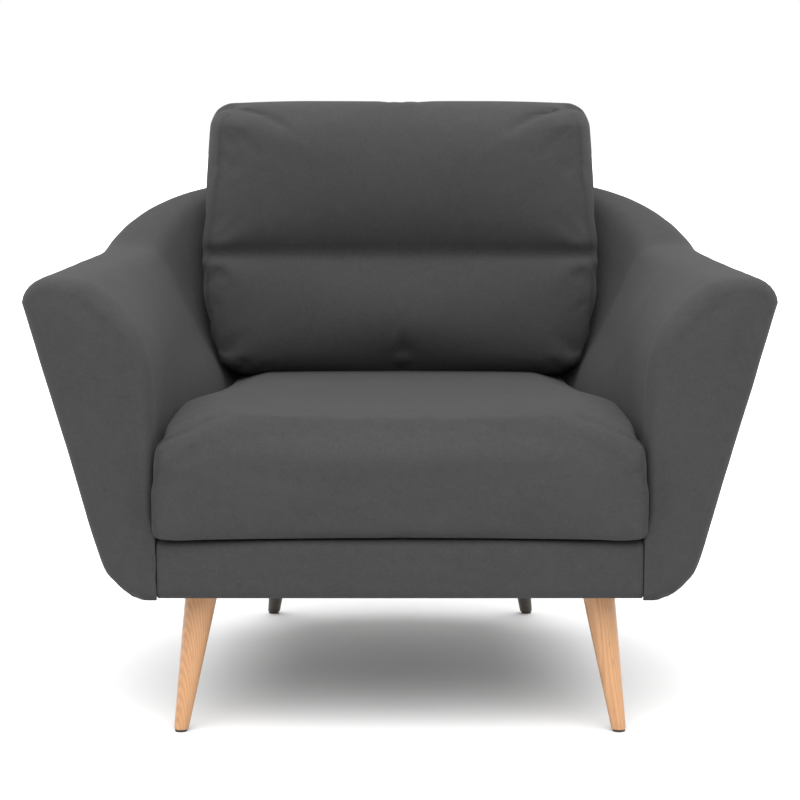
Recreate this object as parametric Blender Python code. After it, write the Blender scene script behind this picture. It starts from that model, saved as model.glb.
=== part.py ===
"""Upholstered tub armchair: a timber and plywood frame on four splayed legs, padded and covered in cloth,
with a loose seat cushion and a loose back cushion. X is the width, -Y the front and +Z up; the origin lies
on the floor, in the middle of the chair's box."""

import math
from collections import namedtuple

import bmesh
import bpy
from mathutils import Matrix, Vector

# Overall sizes, in metres.
WIDTH = 1.030  # across the two arm tips
FRONT_Y = -0.420  # front faces of the arms
REAR_Y = 0.446  # rearmost point of the back
ARM_HEIGHT = 0.639
ARM_RISE = 0.006  # from the front of an arm to the corner
BACK_HEIGHT = 0.758  # top edge of the padded back, behind the loose cushion
BODY_BOTTOM = 0.195  # underside of the padded body
DECK_HEIGHT = 0.270  # top of the seat rails

# The tub: plan positions of the ridge and of the feet of its inner and outer walls.
SEAT_HALF_FRONT = 0.336
SEAT_HALF_REAR = 0.280
SEAT_REAR_Y = 0.280
ARM_FLARE = 0.092  # how far an arm's outer side leans out
ARM_TAPER = 0.033  # how far the ridge runs in from front to rear
ARM_TOP = 0.084  # flat width of an arm's top
BACK_FLARE = 0.050
BACK_TOP = 0.088
SIDE_SWELL = 0.022  # how far a side stands out below the ridge
STRAIGHT_U = 0.06  # share of an arm's length before its taper begins
CORNER_Y = 0.120  # where the straight arms end and the round back begins
SEAM_ANGLE = math.radians(50)  # where the arm covers meet the back cover
FRONT_ROUND = 0.020  # rounding of an arm's front edges

# Layers and fits.
CLOTH = 0.002
WADDING = 0.012
FIT = 0.0003
LAYER_FIT = 0.0007  # under a cloth that follows a curved filling
SEAM_GAP = 0.0006
PLY = 0.018

# Seat frame, springs and deck.
RAIL_BOTTOM = 0.1963
RAIL_THICK = 0.025
RAIL_INSIDE = 0.004  # how far a side rail stands inside the foot of the inner wall
REAR_RAIL_OUTSIDE = 0.031  # how far the rear rail reaches outside it
REAR_RAIL_INSIDE = 0.010
FRONT_PAD = 0.014
BORDER_RISE = 0.010  # how far the front border rolls over the rail's top
SPRING_COUNT = 5
SPRING_SPAN = 0.40  # between the outermost springs
SPRING_WIRE = 0.0017  # radius
SPRING_HALF_WIDTH = 0.024
SPRING_LOOPS = 13
DECK_THICK = 0.006
DUST_THICK = 0.001

# Legs.
LEG_TOP_R = 0.0233
LEG_FOOT_R = 0.0102
LEG_EDGE = 0.0015
LEG_FRONT = (0.280, -0.343)  # where a front leg's axis meets its plate
LEG_REAR = (0.190, 0.262)
SPLAY_X = 0.028
SPLAY_FRONT = 0.044
SPLAY_REAR = 0.074
GLIDE_THICK = 0.003
GLIDE_R = 0.0085
PLATE_SIDE = 0.058
PLATE_THICK = 0.0025
SCREW_HEAD_R = 0.0036
SCREW_HEAD_THICK = 0.0014
SCREW_INSET = 0.0065
BLOCK_SIDE = 0.084
REAR_BLOCK_SHIFT = 0.060  # inward from a rear leg's plate
BLOCK_THICK = 0.030
BOLT_R = 0.004
BOLT_IN_LEG = 0.040
BOLT_IN_BLOCK = 0.020
BOLT_CLEAR = 0.0004

# Loose cushions.
CUSHION_CLOTH = 0.0015
CUSHION_GAP = 0.0025  # to the tub's inner wall
SEAT_FRONT_Y = -0.440
SEAT_BACK_Y = 0.222
SEAT_THICK = 0.152
SEAT_CROWN = 0.006
SEAT_ROLL_DEPTH = 0.060  # front roll, front to rear
SEAT_ROLL_HEIGHT = 0.050
SEAT_REAR_ROUND = 0.026
SEAT_SIDE_ROUND = 0.022
SEAT_LIP = 0.014  # how far the seat cushion spreads in front of the arms
BACK_CUSHION_TOP = 0.877
BACK_CUSHION_HALF = 0.320
BACK_CUSHION_WIDTHS = (  # heights and half widths, from the cushion's foot to above its top
    (0.435, 0.268),
    (0.50, 0.298),
    (0.565, 0.313),
    (0.634, 0.318),
    (0.70, 0.320),
    (0.77, 0.316),
    (1.0, 0.314),
)
BACK_CUSHION_DEPTH = 0.168
BACK_CUSHION_FRONT = 0.104  # front of its foot
BACK_LEAN = 0.15
BACK_SEAM = 0.634
BACK_SEAM_DEPTH = 0.020
BACK_BULGE = 0.016
ZIP_LENGTH = 0.34
ZIP_HEIGHT = 0.012
SLIDER_LENGTH = 0.011
SLIDER_HEIGHT = 0.009
SLIDER_THICK = 0.003
PULL_LENGTH = 0.018

# Heights of the stack under the body, and depths into its padding.
PLATE_BOTTOM = RAIL_BOTTOM - FIT - DUST_THICK - FIT - PLATE_THICK
LEG_TOP = PLATE_BOTTOM - FIT
SPRING_Z = DECK_HEIGHT + FIT + SPRING_WIRE
DECK_Z = SPRING_Z + SPRING_WIRE + FIT
SEAT_Z = DECK_Z + DECK_THICK + FIT
BACK_FOOT = SEAT_Z + SEAT_THICK + SEAT_CROWN * 0.71  # on the seat cushion's crown
CARCASS = CLOTH + LAYER_FIT + WADDING + FIT  # from the cloth's outer face to the frame

for leftover in list(bpy.data.objects):
    bpy.data.objects.remove(leftover)
ARMCHAIR = bpy.data.collections.new("armchair")
CUTTERS = bpy.data.collections.new("cutters")
for collection in (ARMCHAIR, CUTTERS):
    bpy.context.scene.collection.children.link(collection)
CUTTERS.hide_render = True


def material(name, colour, roughness, metallic=0.0):
    made = bpy.data.materials.new(name)
    made.use_nodes = True
    shader = made.node_tree.nodes["Principled BSDF"]
    shader.inputs["Base Color"].default_value = (*colour, 1.0)
    shader.inputs["Roughness"].default_value = roughness
    shader.inputs["Metallic"].default_value = metallic
    return made


CLOTH_GREY = material("charcoal_cloth", (0.075, 0.075, 0.077), 0.9)
FOAM = material("foam", (0.85, 0.80, 0.62), 0.95)
WADDING_WHITE = material("wadding", (0.82, 0.82, 0.80), 0.95)
TIMBER = material("frame_timber", (0.62, 0.47, 0.30), 0.7)
PLYWOOD = material("plywood", (0.70, 0.56, 0.38), 0.65)
BEECH = material("oiled_beech", (0.62, 0.36, 0.18), 0.45)
STEEL = material("zinc_steel", (0.60, 0.60, 0.62), 0.35, 1.0)
FELT = material("grey_felt", (0.35, 0.35, 0.34), 0.95)
BLACK_CLOTH = material("black_dust_cloth", (0.02, 0.02, 0.02), 0.9)
ELASTIC = material("elastic_web", (0.10, 0.10, 0.11), 0.8)
NYLON = material("nylon", (0.16, 0.14, 0.12), 0.5)


def place(obj, finish, collection=ARMCHAIR):
    """Links an object, gives it its finish and returns it."""
    collection.objects.link(obj)
    if finish:
        obj.data.materials.clear()
        obj.data.materials.append(finish)
    return obj


def mesh_object(name, bm, finish, collection=ARMCHAIR):
    mesh = bpy.data.meshes.new(name)
    bm.to_mesh(mesh)
    bm.free()
    return place(bpy.data.objects.new(name, mesh), finish, collection)


def box(name, low, high, finish, collection=ARMCHAIR, turn=0.0, pivot=(0, 0, 0)):
    """A block between two corners, turned about a vertical line through the pivot."""
    low, high = Vector(low), Vector(high)
    bm = bmesh.new()
    bmesh.ops.create_cube(bm, size=1.0)
    bmesh.ops.scale(bm, vec=high - low, verts=bm.verts)
    obj = mesh_object(name, bm, finish, collection)
    spin = Matrix.Rotation(turn, 3, "Z")
    obj.location = spin @ ((low + high) / 2 - Vector(pivot)) + Vector(pivot)
    obj.rotation_euler.z = turn
    return obj


def rod(name, start, end, radius, finish, collection=ARMCHAIR, sides=16):
    """A round bar between two points."""
    start, end = Vector(start), Vector(end)
    bm = bmesh.new()
    bmesh.ops.create_cone(
        bm, cap_ends=True, segments=sides, radius1=radius, radius2=radius, depth=(end - start).length
    )
    obj = mesh_object(name, bm, finish, collection)
    obj.location = (start + end) / 2
    obj.rotation_euler = (end - start).to_track_quat("Z", "Y").to_euler()
    return obj


def helper(obj):
    obj.hide_render = True
    obj.display_type = "WIRE"
    return obj


def boolean(obj, other, operation="DIFFERENCE"):
    cut = obj.modifiers.new(operation.lower(), "BOOLEAN")
    cut.operation = operation
    cut.object = other
    return obj


def cutter_box(name, low, high, **turned):
    return helper(box(name, low, high, None, CUTTERS, **turned))


def outline_plate(name, points, bottom, thickness, finish):
    """A flat plate cut to an outline in plan."""
    curve = bpy.data.curves.new(name, "CURVE")
    curve.dimensions = "2D"
    curve.fill_mode = "BOTH"
    curve.extrude = thickness / 2
    spline = curve.splines.new("POLY")
    spline.points.add(len(points) - 1)
    for corner, (x, y) in zip(spline.points, points):
        corner.co = (x, y, 0, 1)
    spline.use_cyclic_u = True
    obj = place(bpy.data.objects.new(name, curve), finish)
    obj.location.z = bottom + thickness / 2
    return obj


def as_mesh(obj):
    """Turns a curve object into a welded mesh object, so that it can be cut."""
    bpy.context.view_layer.update()
    graph = bpy.context.evaluated_depsgraph_get()
    mesh = bpy.data.meshes.new_from_object(obj.evaluated_get(graph))
    bm = bmesh.new()
    bm.from_mesh(mesh)
    bmesh.ops.remove_doubles(bm, verts=bm.verts, dist=1e-6)
    bm.to_mesh(mesh)
    bm.free()
    name, finish, world = obj.name, obj.data.materials[0], obj.matrix_world.copy()
    bpy.data.objects.remove(obj)
    made = place(bpy.data.objects.new(name, mesh), finish)
    made.matrix_world = world
    return made


# The tub's plan. A level is one line round the tub: straight along each arm, then a quarter ellipse to the
# middle of the back. u runs from 0 at the arm's front to 1 at the corner and 2 at the middle of the back.
Level = namedtuple("Level", "front rear back_y")
RIDGE_FRONT = WIDTH / 2 - SIDE_SWELL
RIDGE = Level(RIDGE_FRONT, RIDGE_FRONT - ARM_TAPER, REAR_Y - SIDE_SWELL)
RIDGE_IN = Level(RIDGE.front - ARM_TOP, RIDGE.rear - ARM_TOP, RIDGE.back_y - BACK_TOP)
FOOT = Level(RIDGE.front - ARM_FLARE, RIDGE.rear - ARM_FLARE, RIDGE.back_y - BACK_FLARE)
FOOT_IN = Level(SEAT_HALF_FRONT, SEAT_HALF_REAR, SEAT_REAR_Y)
WALL_FOOT = 0.42  # where the inner walls begin to lean out
WALL_TOP = 0.017  # how far their upper ends are below the ridge
RIDGE_START = 1.05  # where the arm's top begins to sweep up, as u
RIDGE_BEND = 0.06  # how softly it begins
RIDGE_SWEEP = 2.4  # how soon it levels out to the back
OVER_RIDGE = 4.0  # how fast a cushion may spread above the ridge


def plan(level, u, outward=0.0):
    """A point of a level, moved outward square to its line. Past u = 2 it runs on to the left arm."""
    if u > 2:
        point = plan(level, 4 - u, outward)
        return Vector((-point.x, point.y))
    if u <= 1:
        taper = max(0.0, (u - STRAIGHT_U) / (1 - STRAIGHT_U))
        point = Vector((level.front + (level.rear - level.front) * taper, FRONT_Y + (CORNER_Y - FRONT_Y) * u))
        square = Vector((CORNER_Y - FRONT_Y, level.front - level.rear))
    else:
        turn = (u - 1) * math.pi / 2
        reach = level.back_y - CORNER_Y
        point = Vector((level.rear * math.cos(turn), CORNER_Y + reach * math.sin(turn)))
        square = Vector((reach * math.cos(turn), level.rear * math.sin(turn)))
    return point + square.normalized() * outward


def soft_start(share):
    """0 below zero and the share itself above it, with a soft bend between."""
    return (share + math.hypot(share, RIDGE_BEND)) / 2


def ridge_height(u):
    """The arm's top rises a little to the corner, then sweeps up round it to the back."""
    corner = ARM_HEIGHT + ARM_RISE
    share = max(-0.6, (u - RIDGE_START) / (2 - RIDGE_START))
    climb = (soft_start(share) - soft_start(-0.6)) / (soft_start(1) - soft_start(-0.6))
    return ARM_HEIGHT + ARM_RISE * min(u, 1) + (BACK_HEIGHT - corner) * (1 - (1 - climb) ** RIDGE_SWEEP)


def wall_lean(u, height):
    """How far, from 0 to 1, the inner wall has leaned from its foot to the ridge at a height."""
    share = max(0.0, (height - WALL_FOOT) / (ridge_height(u) - WALL_TOP - WALL_FOOT))
    if share > 1:
        return 1 + OVER_RIDGE * (share - 1)
    upright = share**4
    return upright + (share - upright) * min(1.0, max(0.0, u - 0.1) / 0.9)


def section(u, floor):
    """Key points of the padding at u, from the inner foot over the ridge to the turned-under outer foot."""
    ridge, ridge_in, foot, foot_in = (plan(level, u) for level in (RIDGE, RIDGE_IN, FOOT, FOOT_IN))
    top = ridge_height(u)
    swell = plan(RIDGE, u, SIDE_SWELL)
    shoulder = plan(RIDGE, u, SIDE_SWELL * 0.68)
    wall_top = top - WALL_TOP
    under = 0.58 - 0.24 * min(1.0, max(0.0, u - 0.7) / 0.5)
    inner = [
        (foot_in.lerp(ridge_in, wall_lean(u, z)), z)
        for z in (WALL_FOOT + (wall_top - WALL_FOOT) * share for share in (0.0, 0.45, 0.70, 0.90))
    ]
    return [
        (foot_in, floor),
        *inner,
        (ridge_in.lerp(ridge, 0.14), wall_top + 0.009),
        (ridge_in.lerp(ridge, 0.50), top),
        (ridge, top - 0.002),
        (swell, top - 0.026),
        (shoulder, top - 0.062),
        (shoulder.lerp(foot, 0.50), (top - 0.062 + BODY_BOTTOM) / 2),
        (shoulder.lerp(foot, 0.86), BODY_BOTTOM + 0.14 * (top - 0.062 - BODY_BOTTOM)),
        (foot, BODY_BOTTOM + 0.020),
        (foot.lerp(foot_in, under * 0.55), BODY_BOTTOM + 0.0055),
        (foot.lerp(foot_in, under), BODY_BOTTOM),
    ]


SPLITS = (1, 1, 1, 1, 2, 1, 2, 2, 2, 1, 1, 2, 2, 1)  # faces between the key points


def smooth_section(u, floor=DECK_HEIGHT + FIT):
    """The section as an even curve through its key points."""
    keys = [Vector((p.x, p.y, z)) for p, z in section(u, floor)]
    ends = [keys[0] * 2 - keys[1], *keys, keys[-1] * 2 - keys[-2]]
    points = []
    for i, count in enumerate(SPLITS):
        before, start, end, after = ends[i : i + 4]
        for step in range(count):
            t = step / count
            bend = (end - before) * (t - 2 * t * t + t**3) / 2 + (after - start) * (t**3 - t * t) / 2
            points.append(start * (1 - 3 * t * t + 2 * t**3) + end * (3 * t * t - 2 * t**3) + bend)
    return points + [keys[-1]]


def front_sections():
    """The arm's front end: the first section drawn in round its rounded edge, then its flat face."""
    full = smooth_section(0, BODY_BOTTOM)
    count = len(full) - 1
    sections = []
    for turn in (math.pi / 2, math.pi / 4, 0.0):
        ring = []
        for i, point in enumerate(full):
            ahead, behind = full[min(i + 1, count)], full[max(i - 1, 0)]
            along = ahead - behind
            inward = Vector((along.z, 0, -along.x)).normalized()
            if i in (0, count):
                inward = Vector((inward.x, 0, 0))
            moved = point + inward * FRONT_ROUND * 0.8 * (1 - math.cos(turn))
            ring.append(Vector((moved.x, FRONT_Y + FRONT_ROUND * (1 - math.sin(turn)), moved.z)))
        sections.append(ring)
    return sections


ARM_END = (FRONT_ROUND + 0.0015) / (CORNER_Y - FRONT_Y)
ARM_STATIONS = [ARM_END + (1 - ARM_END) * share for share in (0.0, 0.25, 0.5, 0.75, 1.0)]
CORNER_STATIONS = [1 + SEAM_ANGLE / math.pi * 2 * share for share in (0.16, 0.34, 0.55, 0.77, 1.0)]
BACK_STATIONS = [CORNER_STATIONS[-1] + (2 - CORNER_STATIONS[-1]) * share for share in (0.25, 0.5, 0.75, 1.0)]
STATIONS = ARM_STATIONS + CORNER_STATIONS + BACK_STATIONS
SEAM_U = CORNER_STATIONS[-1]
LEFT_ARM, BACK, RIGHT_ARM = 0, 1, 2


def tub_surface():
    """The padded surface of both arms and the back as one open mesh, its faces numbered by cover."""
    half = front_sections() + [smooth_section(u) for u in STATIONS]
    mirrored = [[Vector((-p.x, p.y, p.z)) for p in points] for points in half]
    loops = half + mirrored[-2::-1]
    arm_loops = 3 + len(ARM_STATIONS) + len(CORNER_STATIONS)
    bm = bmesh.new()
    rows = [[bm.verts.new(p) for p in points] for points in loops]
    last = len(rows[0]) - 1
    for i in range(len(rows) - 1):
        cover = RIGHT_ARM if i < arm_loops - 1 else LEFT_ARM if i >= len(rows) - arm_loops else BACK
        for j in range(last):
            face = bm.faces.new((rows[i][j], rows[i][j + 1], rows[i + 1][j + 1], rows[i + 1][j]))
            face.material_index = cover
    for j in range((last + 1) // 2):
        for row, cover in ((rows[0], RIGHT_ARM), (rows[-1], LEFT_ARM)):
            ring = (row[j], row[j + 1], row[last - 1 - j], row[last - j])
            corners = list(dict.fromkeys(ring[::-1] if cover == RIGHT_ARM else ring))
            bm.faces.new(corners).material_index = cover
    bm.normal_update()
    normals = [vertex.normal.copy() for vertex in bm.verts]
    bmesh.ops.triangulate(bm, faces=bm.faces)
    mesh = bpy.data.meshes.new("tub")
    bm.to_mesh(mesh)
    bm.free()
    return mesh, normals


TUB, TUB_NORMALS = tub_surface()


def offset_layer(bm, cover, depth, turned):
    """Adds one cover's faces, or all if it is None, moved in by depth. Returns the vertices by index."""
    layer = {}
    for face in TUB.polygons:
        if cover is not None and face.material_index != cover:
            continue
        for index in face.vertices:
            if index not in layer:
                vertex = TUB.vertices[index]
                moved = vertex.co - TUB_NORMALS[index] * depth
                if abs(vertex.co.z - BODY_BOTTOM) < 1e-6:
                    moved.z = max(moved.z, BODY_BOTTOM)
                layer[index] = bm.verts.new(moved)
        corners = [layer[index] for index in face.vertices]
        bm.faces.new(corners[::-1] if turned else corners)
    return layer


def tub_layer(name, cover, outer, inner, finish):
    """One layer of a cover's padding, between two depths under the tub's surface."""
    bm = bmesh.new()
    skin = offset_layer(bm, cover, outer, turned=False)
    rim = [edge for edge in bm.edges if edge.is_boundary]
    index_of = {vertex: index for index, vertex in skin.items()}
    lining = offset_layer(bm, cover, inner, turned=True)
    for edge in rim:
        start, end = edge.link_loops[0].vert, edge.link_loops[0].link_loop_next.vert
        bm.faces.new((end, start, lining[index_of[start]], lining[index_of[end]]))
    draw_from_seam(bm, cover, SEAM_GAP + outer / 2)
    return mesh_object(name, bm, finish)


def draw_from_seam(bm, cover, gap):
    """Draws a cover back from its seams, so that neighbours don't touch."""
    inner, outer = plan(FOOT_IN, SEAM_U), plan(RIDGE, SEAM_U)
    along = (outer - inner).normalized()
    away = Vector((along.y, -along.x)) * (gap if cover != BACK else -gap)
    for vertex in bm.verts:
        side = 1 if vertex.co.x > 0 else -1
        from_seam = Vector((vertex.co.x * side, vertex.co.y)) - inner
        if abs(from_seam.x * along.y - from_seam.y * along.x) < 0.016:
            vertex.co.x += away.x * side
            vertex.co.y += away.y


def build_padding():
    for name, cover in (("left_arm", LEFT_ARM), ("back", BACK), ("right_arm", RIGHT_ARM)):
        tub_layer(f"{name}_cover", cover, 0.0, CLOTH, CLOTH_GREY)
        under = CLOTH + LAYER_FIT
        tub_layer(f"{name}_foam", cover, under, under + WADDING, FOAM)


WING_U = SEAM_U - 0.16
BOARD_DEPTH = CARCASS + 0.0015  # from the cloth's outer face to the edges of the boards
TOP_BOARD_DROP = 0.048  # from an arm's or the back's ridge to the top face of its board


def inner_outline(u, depth):
    """The section at u moved in by depth, as distances outward from the inner foot and heights."""
    foot, across = section_plane(u)
    points = [Vector(((p.xy - foot).dot(across), p.z)) for p in smooth_section(u, BODY_BOTTOM)]
    inset = []
    for i, point in enumerate(points):
        along = points[min(i + 1, len(points) - 1)] - points[max(i - 1, 0)]
        inset.append(point + Vector((along.y, -along.x)).normalized() * depth)
    return [spot for spot in inset if all((spot - point).length > depth * 0.98 for point in points)]


def section_plane(u):
    foot = plan(FOOT_IN, u)
    return foot, (plan(RIDGE, u) - foot).normalized()


def upright_board(name, side, u, depth, floor):
    """A plywood board across the tub at u, its outline inside the padding."""
    foot, across = section_plane(u)
    square = Vector((-across.y, across.x)) * PLY / 2
    outline = [Vector((p.x, max(p.y, floor))) for p in inner_outline(u, depth)]
    outline = [p for i, p in enumerate(outline) if (p - outline[i - 1]).length > 1e-5]
    bm = bmesh.new()
    ends = []
    for face in (-1, 1):
        spots = [(foot + across * p.x + square * face, p.y) for p in outline]
        ends.append([bm.verts.new((spot.x * side, spot.y, z)) for spot, z in spots])
    for i, _ in enumerate(outline):
        after = (i + 1) % len(outline)
        bm.faces.new((ends[0][i], ends[0][after], ends[1][after], ends[1][i]))
    bm.faces.new(ends[0][::-1])
    bm.faces.new(ends[1])
    bmesh.ops.recalc_face_normals(bm, faces=bm.faces)
    return mesh_object(name, bm, PLYWOOD)


def crossings(outline, height):
    """How far out the outline crosses a height, going up inside and coming down outside."""
    found = []
    for start, end in zip(outline, outline[1:]):
        if (start.y - height) * (end.y - height) < 0:
            found.append(start.lerp(end, (height - start.y) / (end.y - start.y)).x)
    return found[0], found[-1]


def board_edges(u, low, high):
    """Where a level board between two heights may reach across the padding at u."""
    outline = inner_outline(u, BOARD_DEPTH)
    inner = max(crossings(outline, z)[0] for z in (low, high))
    outer = min(crossings(outline, z)[1] for z in (low, high))
    foot, across = section_plane(u)
    return foot + across * inner, foot + across * outer


def level_board(name, side, stops, top):
    edges = [board_edges(u, top - PLY, top) for u in stops]
    outline = [inner for inner, _ in edges] + [outer for _, outer in edges[::-1]]
    return outline_plate(name, [(p.x * side, p.y) for p in outline], top - PLY, PLY, PLYWOOD)


def build_body_frame():
    """Plywood boards inside the padding: front, wing and top boards in each arm and one over the back."""
    front_u = (CARCASS + 0.006 + PLY / 2) / (CORNER_Y - FRONT_Y)
    for side, word in ((1, "right"), (-1, "left")):
        upright_board(f"{word}_arm_front_board", side, front_u, CARCASS + 0.006, RAIL_BOTTOM)
        upright_board(f"{word}_wing_board", side, WING_U, BOARD_DEPTH + 0.003, DECK_HEIGHT + FIT)
        first = front_u + (PLY / 2 + FIT) / (CORNER_Y - FRONT_Y)
        level_board(f"{word}_arm_top_board", side, (first, 0.5, 1.0, 1.12), ARM_HEIGHT - TOP_BOARD_DROP)
    reach = WING_U + 0.075
    stops = [reach + (2 - reach) * i / 4 for i in range(5)]
    high = BACK_HEIGHT - TOP_BOARD_DROP - 0.014
    edges = [board_edges(u, high - PLY, high) for u in stops]
    half_inner, half_outer = [inner for inner, _ in edges], [outer for _, outer in edges]
    outline = half_inner + [Vector((-p.x, p.y)) for p in half_inner[-2::-1]]
    outline += [Vector((-p.x, p.y)) for p in half_outer] + half_outer[-2::-1]
    top = BACK_HEIGHT - TOP_BOARD_DROP - 0.014
    outline_plate("back_top_board", outline, top - PLY, PLY, PLYWOOD)


def rail_outline(first_u, last_u, inside, outside, steps):
    """The plan of a rail that follows the foot of the inner wall."""
    stops = [first_u + (last_u - first_u) * i / steps for i in range(steps + 1)]
    return [plan(FOOT_IN, u, outside) for u in stops] + [plan(FOOT_IN, u, -inside) for u in stops[::-1]]


RAIL_JOINT_U = 1.42
FRONT_RAIL_Y = FRONT_Y + CLOTH + FRONT_PAD + 2 * FIT


def build_seat_frame():
    """Front, side and bent rear rails, with corner blocks for the legs."""
    height = DECK_HEIGHT - RAIL_BOTTOM
    rail_back = FRONT_RAIL_Y + RAIL_THICK
    half = SEAT_HALF_FRONT - SEAM_GAP - CLOTH
    box("front_rail", (-half, FRONT_RAIL_Y, RAIL_BOTTOM), (half, rail_back, DECK_HEIGHT), TIMBER)
    outside = RAIL_THICK - RAIL_INSIDE
    start = (rail_back + FIT - FRONT_Y) / (CORNER_Y - FRONT_Y)
    side_points = rail_outline(start, 1.0, RAIL_INSIDE, outside, 1)[:2]
    bend = [u / 100 for u in range(108, int(RAIL_JOINT_U * 100) + 1, 11)]
    side_points += [plan(FOOT_IN, u, outside) for u in bend]
    side_points += [plan(FOOT_IN, u, -RAIL_INSIDE) for u in bend[::-1]]
    side_points += rail_outline(start, 1.0, RAIL_INSIDE, outside, 1)[2:]
    for point in (side_points[0], side_points[-1]):
        point.y = rail_back + FIT
    outline_plate("right_side_rail", side_points, RAIL_BOTTOM, height, TIMBER)
    outline_plate("left_side_rail", [(-x, y) for x, y in side_points[::-1]], RAIL_BOTTOM, height, TIMBER)
    joint = bend[-1]
    fit_u = 2 * FIT / plan(FOOT_IN, joint).length * 2 / math.pi * 2
    rear = rail_outline(joint + fit_u, 4 - joint - fit_u, REAR_RAIL_INSIDE, REAR_RAIL_OUTSIDE, 9)
    as_mesh(outline_plate("rear_rail", rear, RAIL_BOTTOM, height, TIMBER))


def build_front_border():
    """The cloth and wadding over the front rail, between the two arms."""
    half = SEAT_HALF_FRONT - SEAM_GAP
    top = DECK_HEIGHT + FIT + FRONT_PAD / 2
    outer = [
        (FRONT_RAIL_Y + BORDER_RISE, top),
        (FRONT_Y + 0.010, top),
        (FRONT_Y + 0.003, top - 0.004),
        (FRONT_Y, top - 0.012),
        (FRONT_Y, BODY_BOTTOM + 0.010),
        (FRONT_Y + 0.003, BODY_BOTTOM + 0.003),
        (FRONT_Y + 0.010, BODY_BOTTOM),
        (FRONT_RAIL_Y - FIT, BODY_BOTTOM),
    ]
    prism("front_border_cover", outer + moved_in(outer, CLOTH)[::-1], half, CLOTH_GREY)
    inner = [
        (FRONT_RAIL_Y - FIT, DECK_HEIGHT + FIT),
        (FRONT_RAIL_Y + BORDER_RISE, DECK_HEIGHT + FIT),
    ]
    prism("front_pad", moved_in(outer, CLOTH + FIT) + inner, half - CLOTH, FOAM)


def prism(name, outline, half, finish):
    """A bar along X with this outline in Y and Z."""
    bm = bmesh.new()
    ends = [[bm.verts.new((x, y, z)) for y, z in outline] for x in (-half, half)]
    for i, _ in enumerate(outline):
        after = (i + 1) % len(outline)
        bm.faces.new((ends[0][i], ends[0][after], ends[1][after], ends[1][i]))
    bm.faces.new(ends[0][::-1])
    bm.faces.new(ends[1])
    bmesh.ops.recalc_face_normals(bm, faces=bm.faces)
    return mesh_object(name, bm, finish)


def moved_in(line, depth):
    """A line in Y and Z moved to its left by depth."""
    inner = []
    for i, (y, z) in enumerate(line):
        ahead, behind = line[min(i + 1, len(line) - 1)], line[max(i - 1, 0)]
        along = Vector((ahead[0] - behind[0], ahead[1] - behind[1])).normalized()
        inner.append((y - along.y * depth, z + along.x * depth))
    return inner


def corner_blocks():
    """The places of the four legs: a name, the plate's centre and the way the leg splays."""
    for side, word in ((1, "right"), (-1, "left")):
        front, rear = Vector((LEG_FRONT[0] * side, LEG_FRONT[1])), Vector((LEG_REAR[0] * side, LEG_REAR[1]))
        yield f"front_{word}", front, Vector((SPLAY_X * side, -SPLAY_FRONT))
        yield f"rear_{word}", rear, Vector((SPLAY_X * side, SPLAY_REAR))


def turned_leg(name, centre, splay):
    """A straight round leg, its axis leaning and its two ends level."""
    bottom = GLIDE_THICK + FIT
    length = LEG_TOP - bottom
    slope = (LEG_TOP_R - LEG_FOOT_R) / length
    profile = [
        (bottom, LEG_FOOT_R - LEG_EDGE),
        (bottom + LEG_EDGE, LEG_FOOT_R + slope * LEG_EDGE),
        (LEG_TOP - LEG_EDGE / 2, LEG_TOP_R - slope * LEG_EDGE / 2),
        (LEG_TOP, LEG_TOP_R - LEG_EDGE / 2),
    ]
    bm = bmesh.new()
    rings = []
    for z, radius in profile:
        middle = centre + splay * (LEG_TOP - z) / LEG_TOP
        spokes = [Vector((math.cos(math.pi * i / 16), math.sin(math.pi * i / 16))) * radius for i in range(32)]
        rings.append([bm.verts.new((*(middle + spoke), z)) for spoke in spokes])
    for low, high in zip(rings, rings[1:]):
        for i in range(32):
            bm.faces.new((low[i], low[(i + 1) % 32], high[(i + 1) % 32], high[i]))
    bm.faces.new(rings[0][::-1])
    bm.faces.new(rings[-1])
    return mesh_object(name, bm, BEECH)


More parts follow.
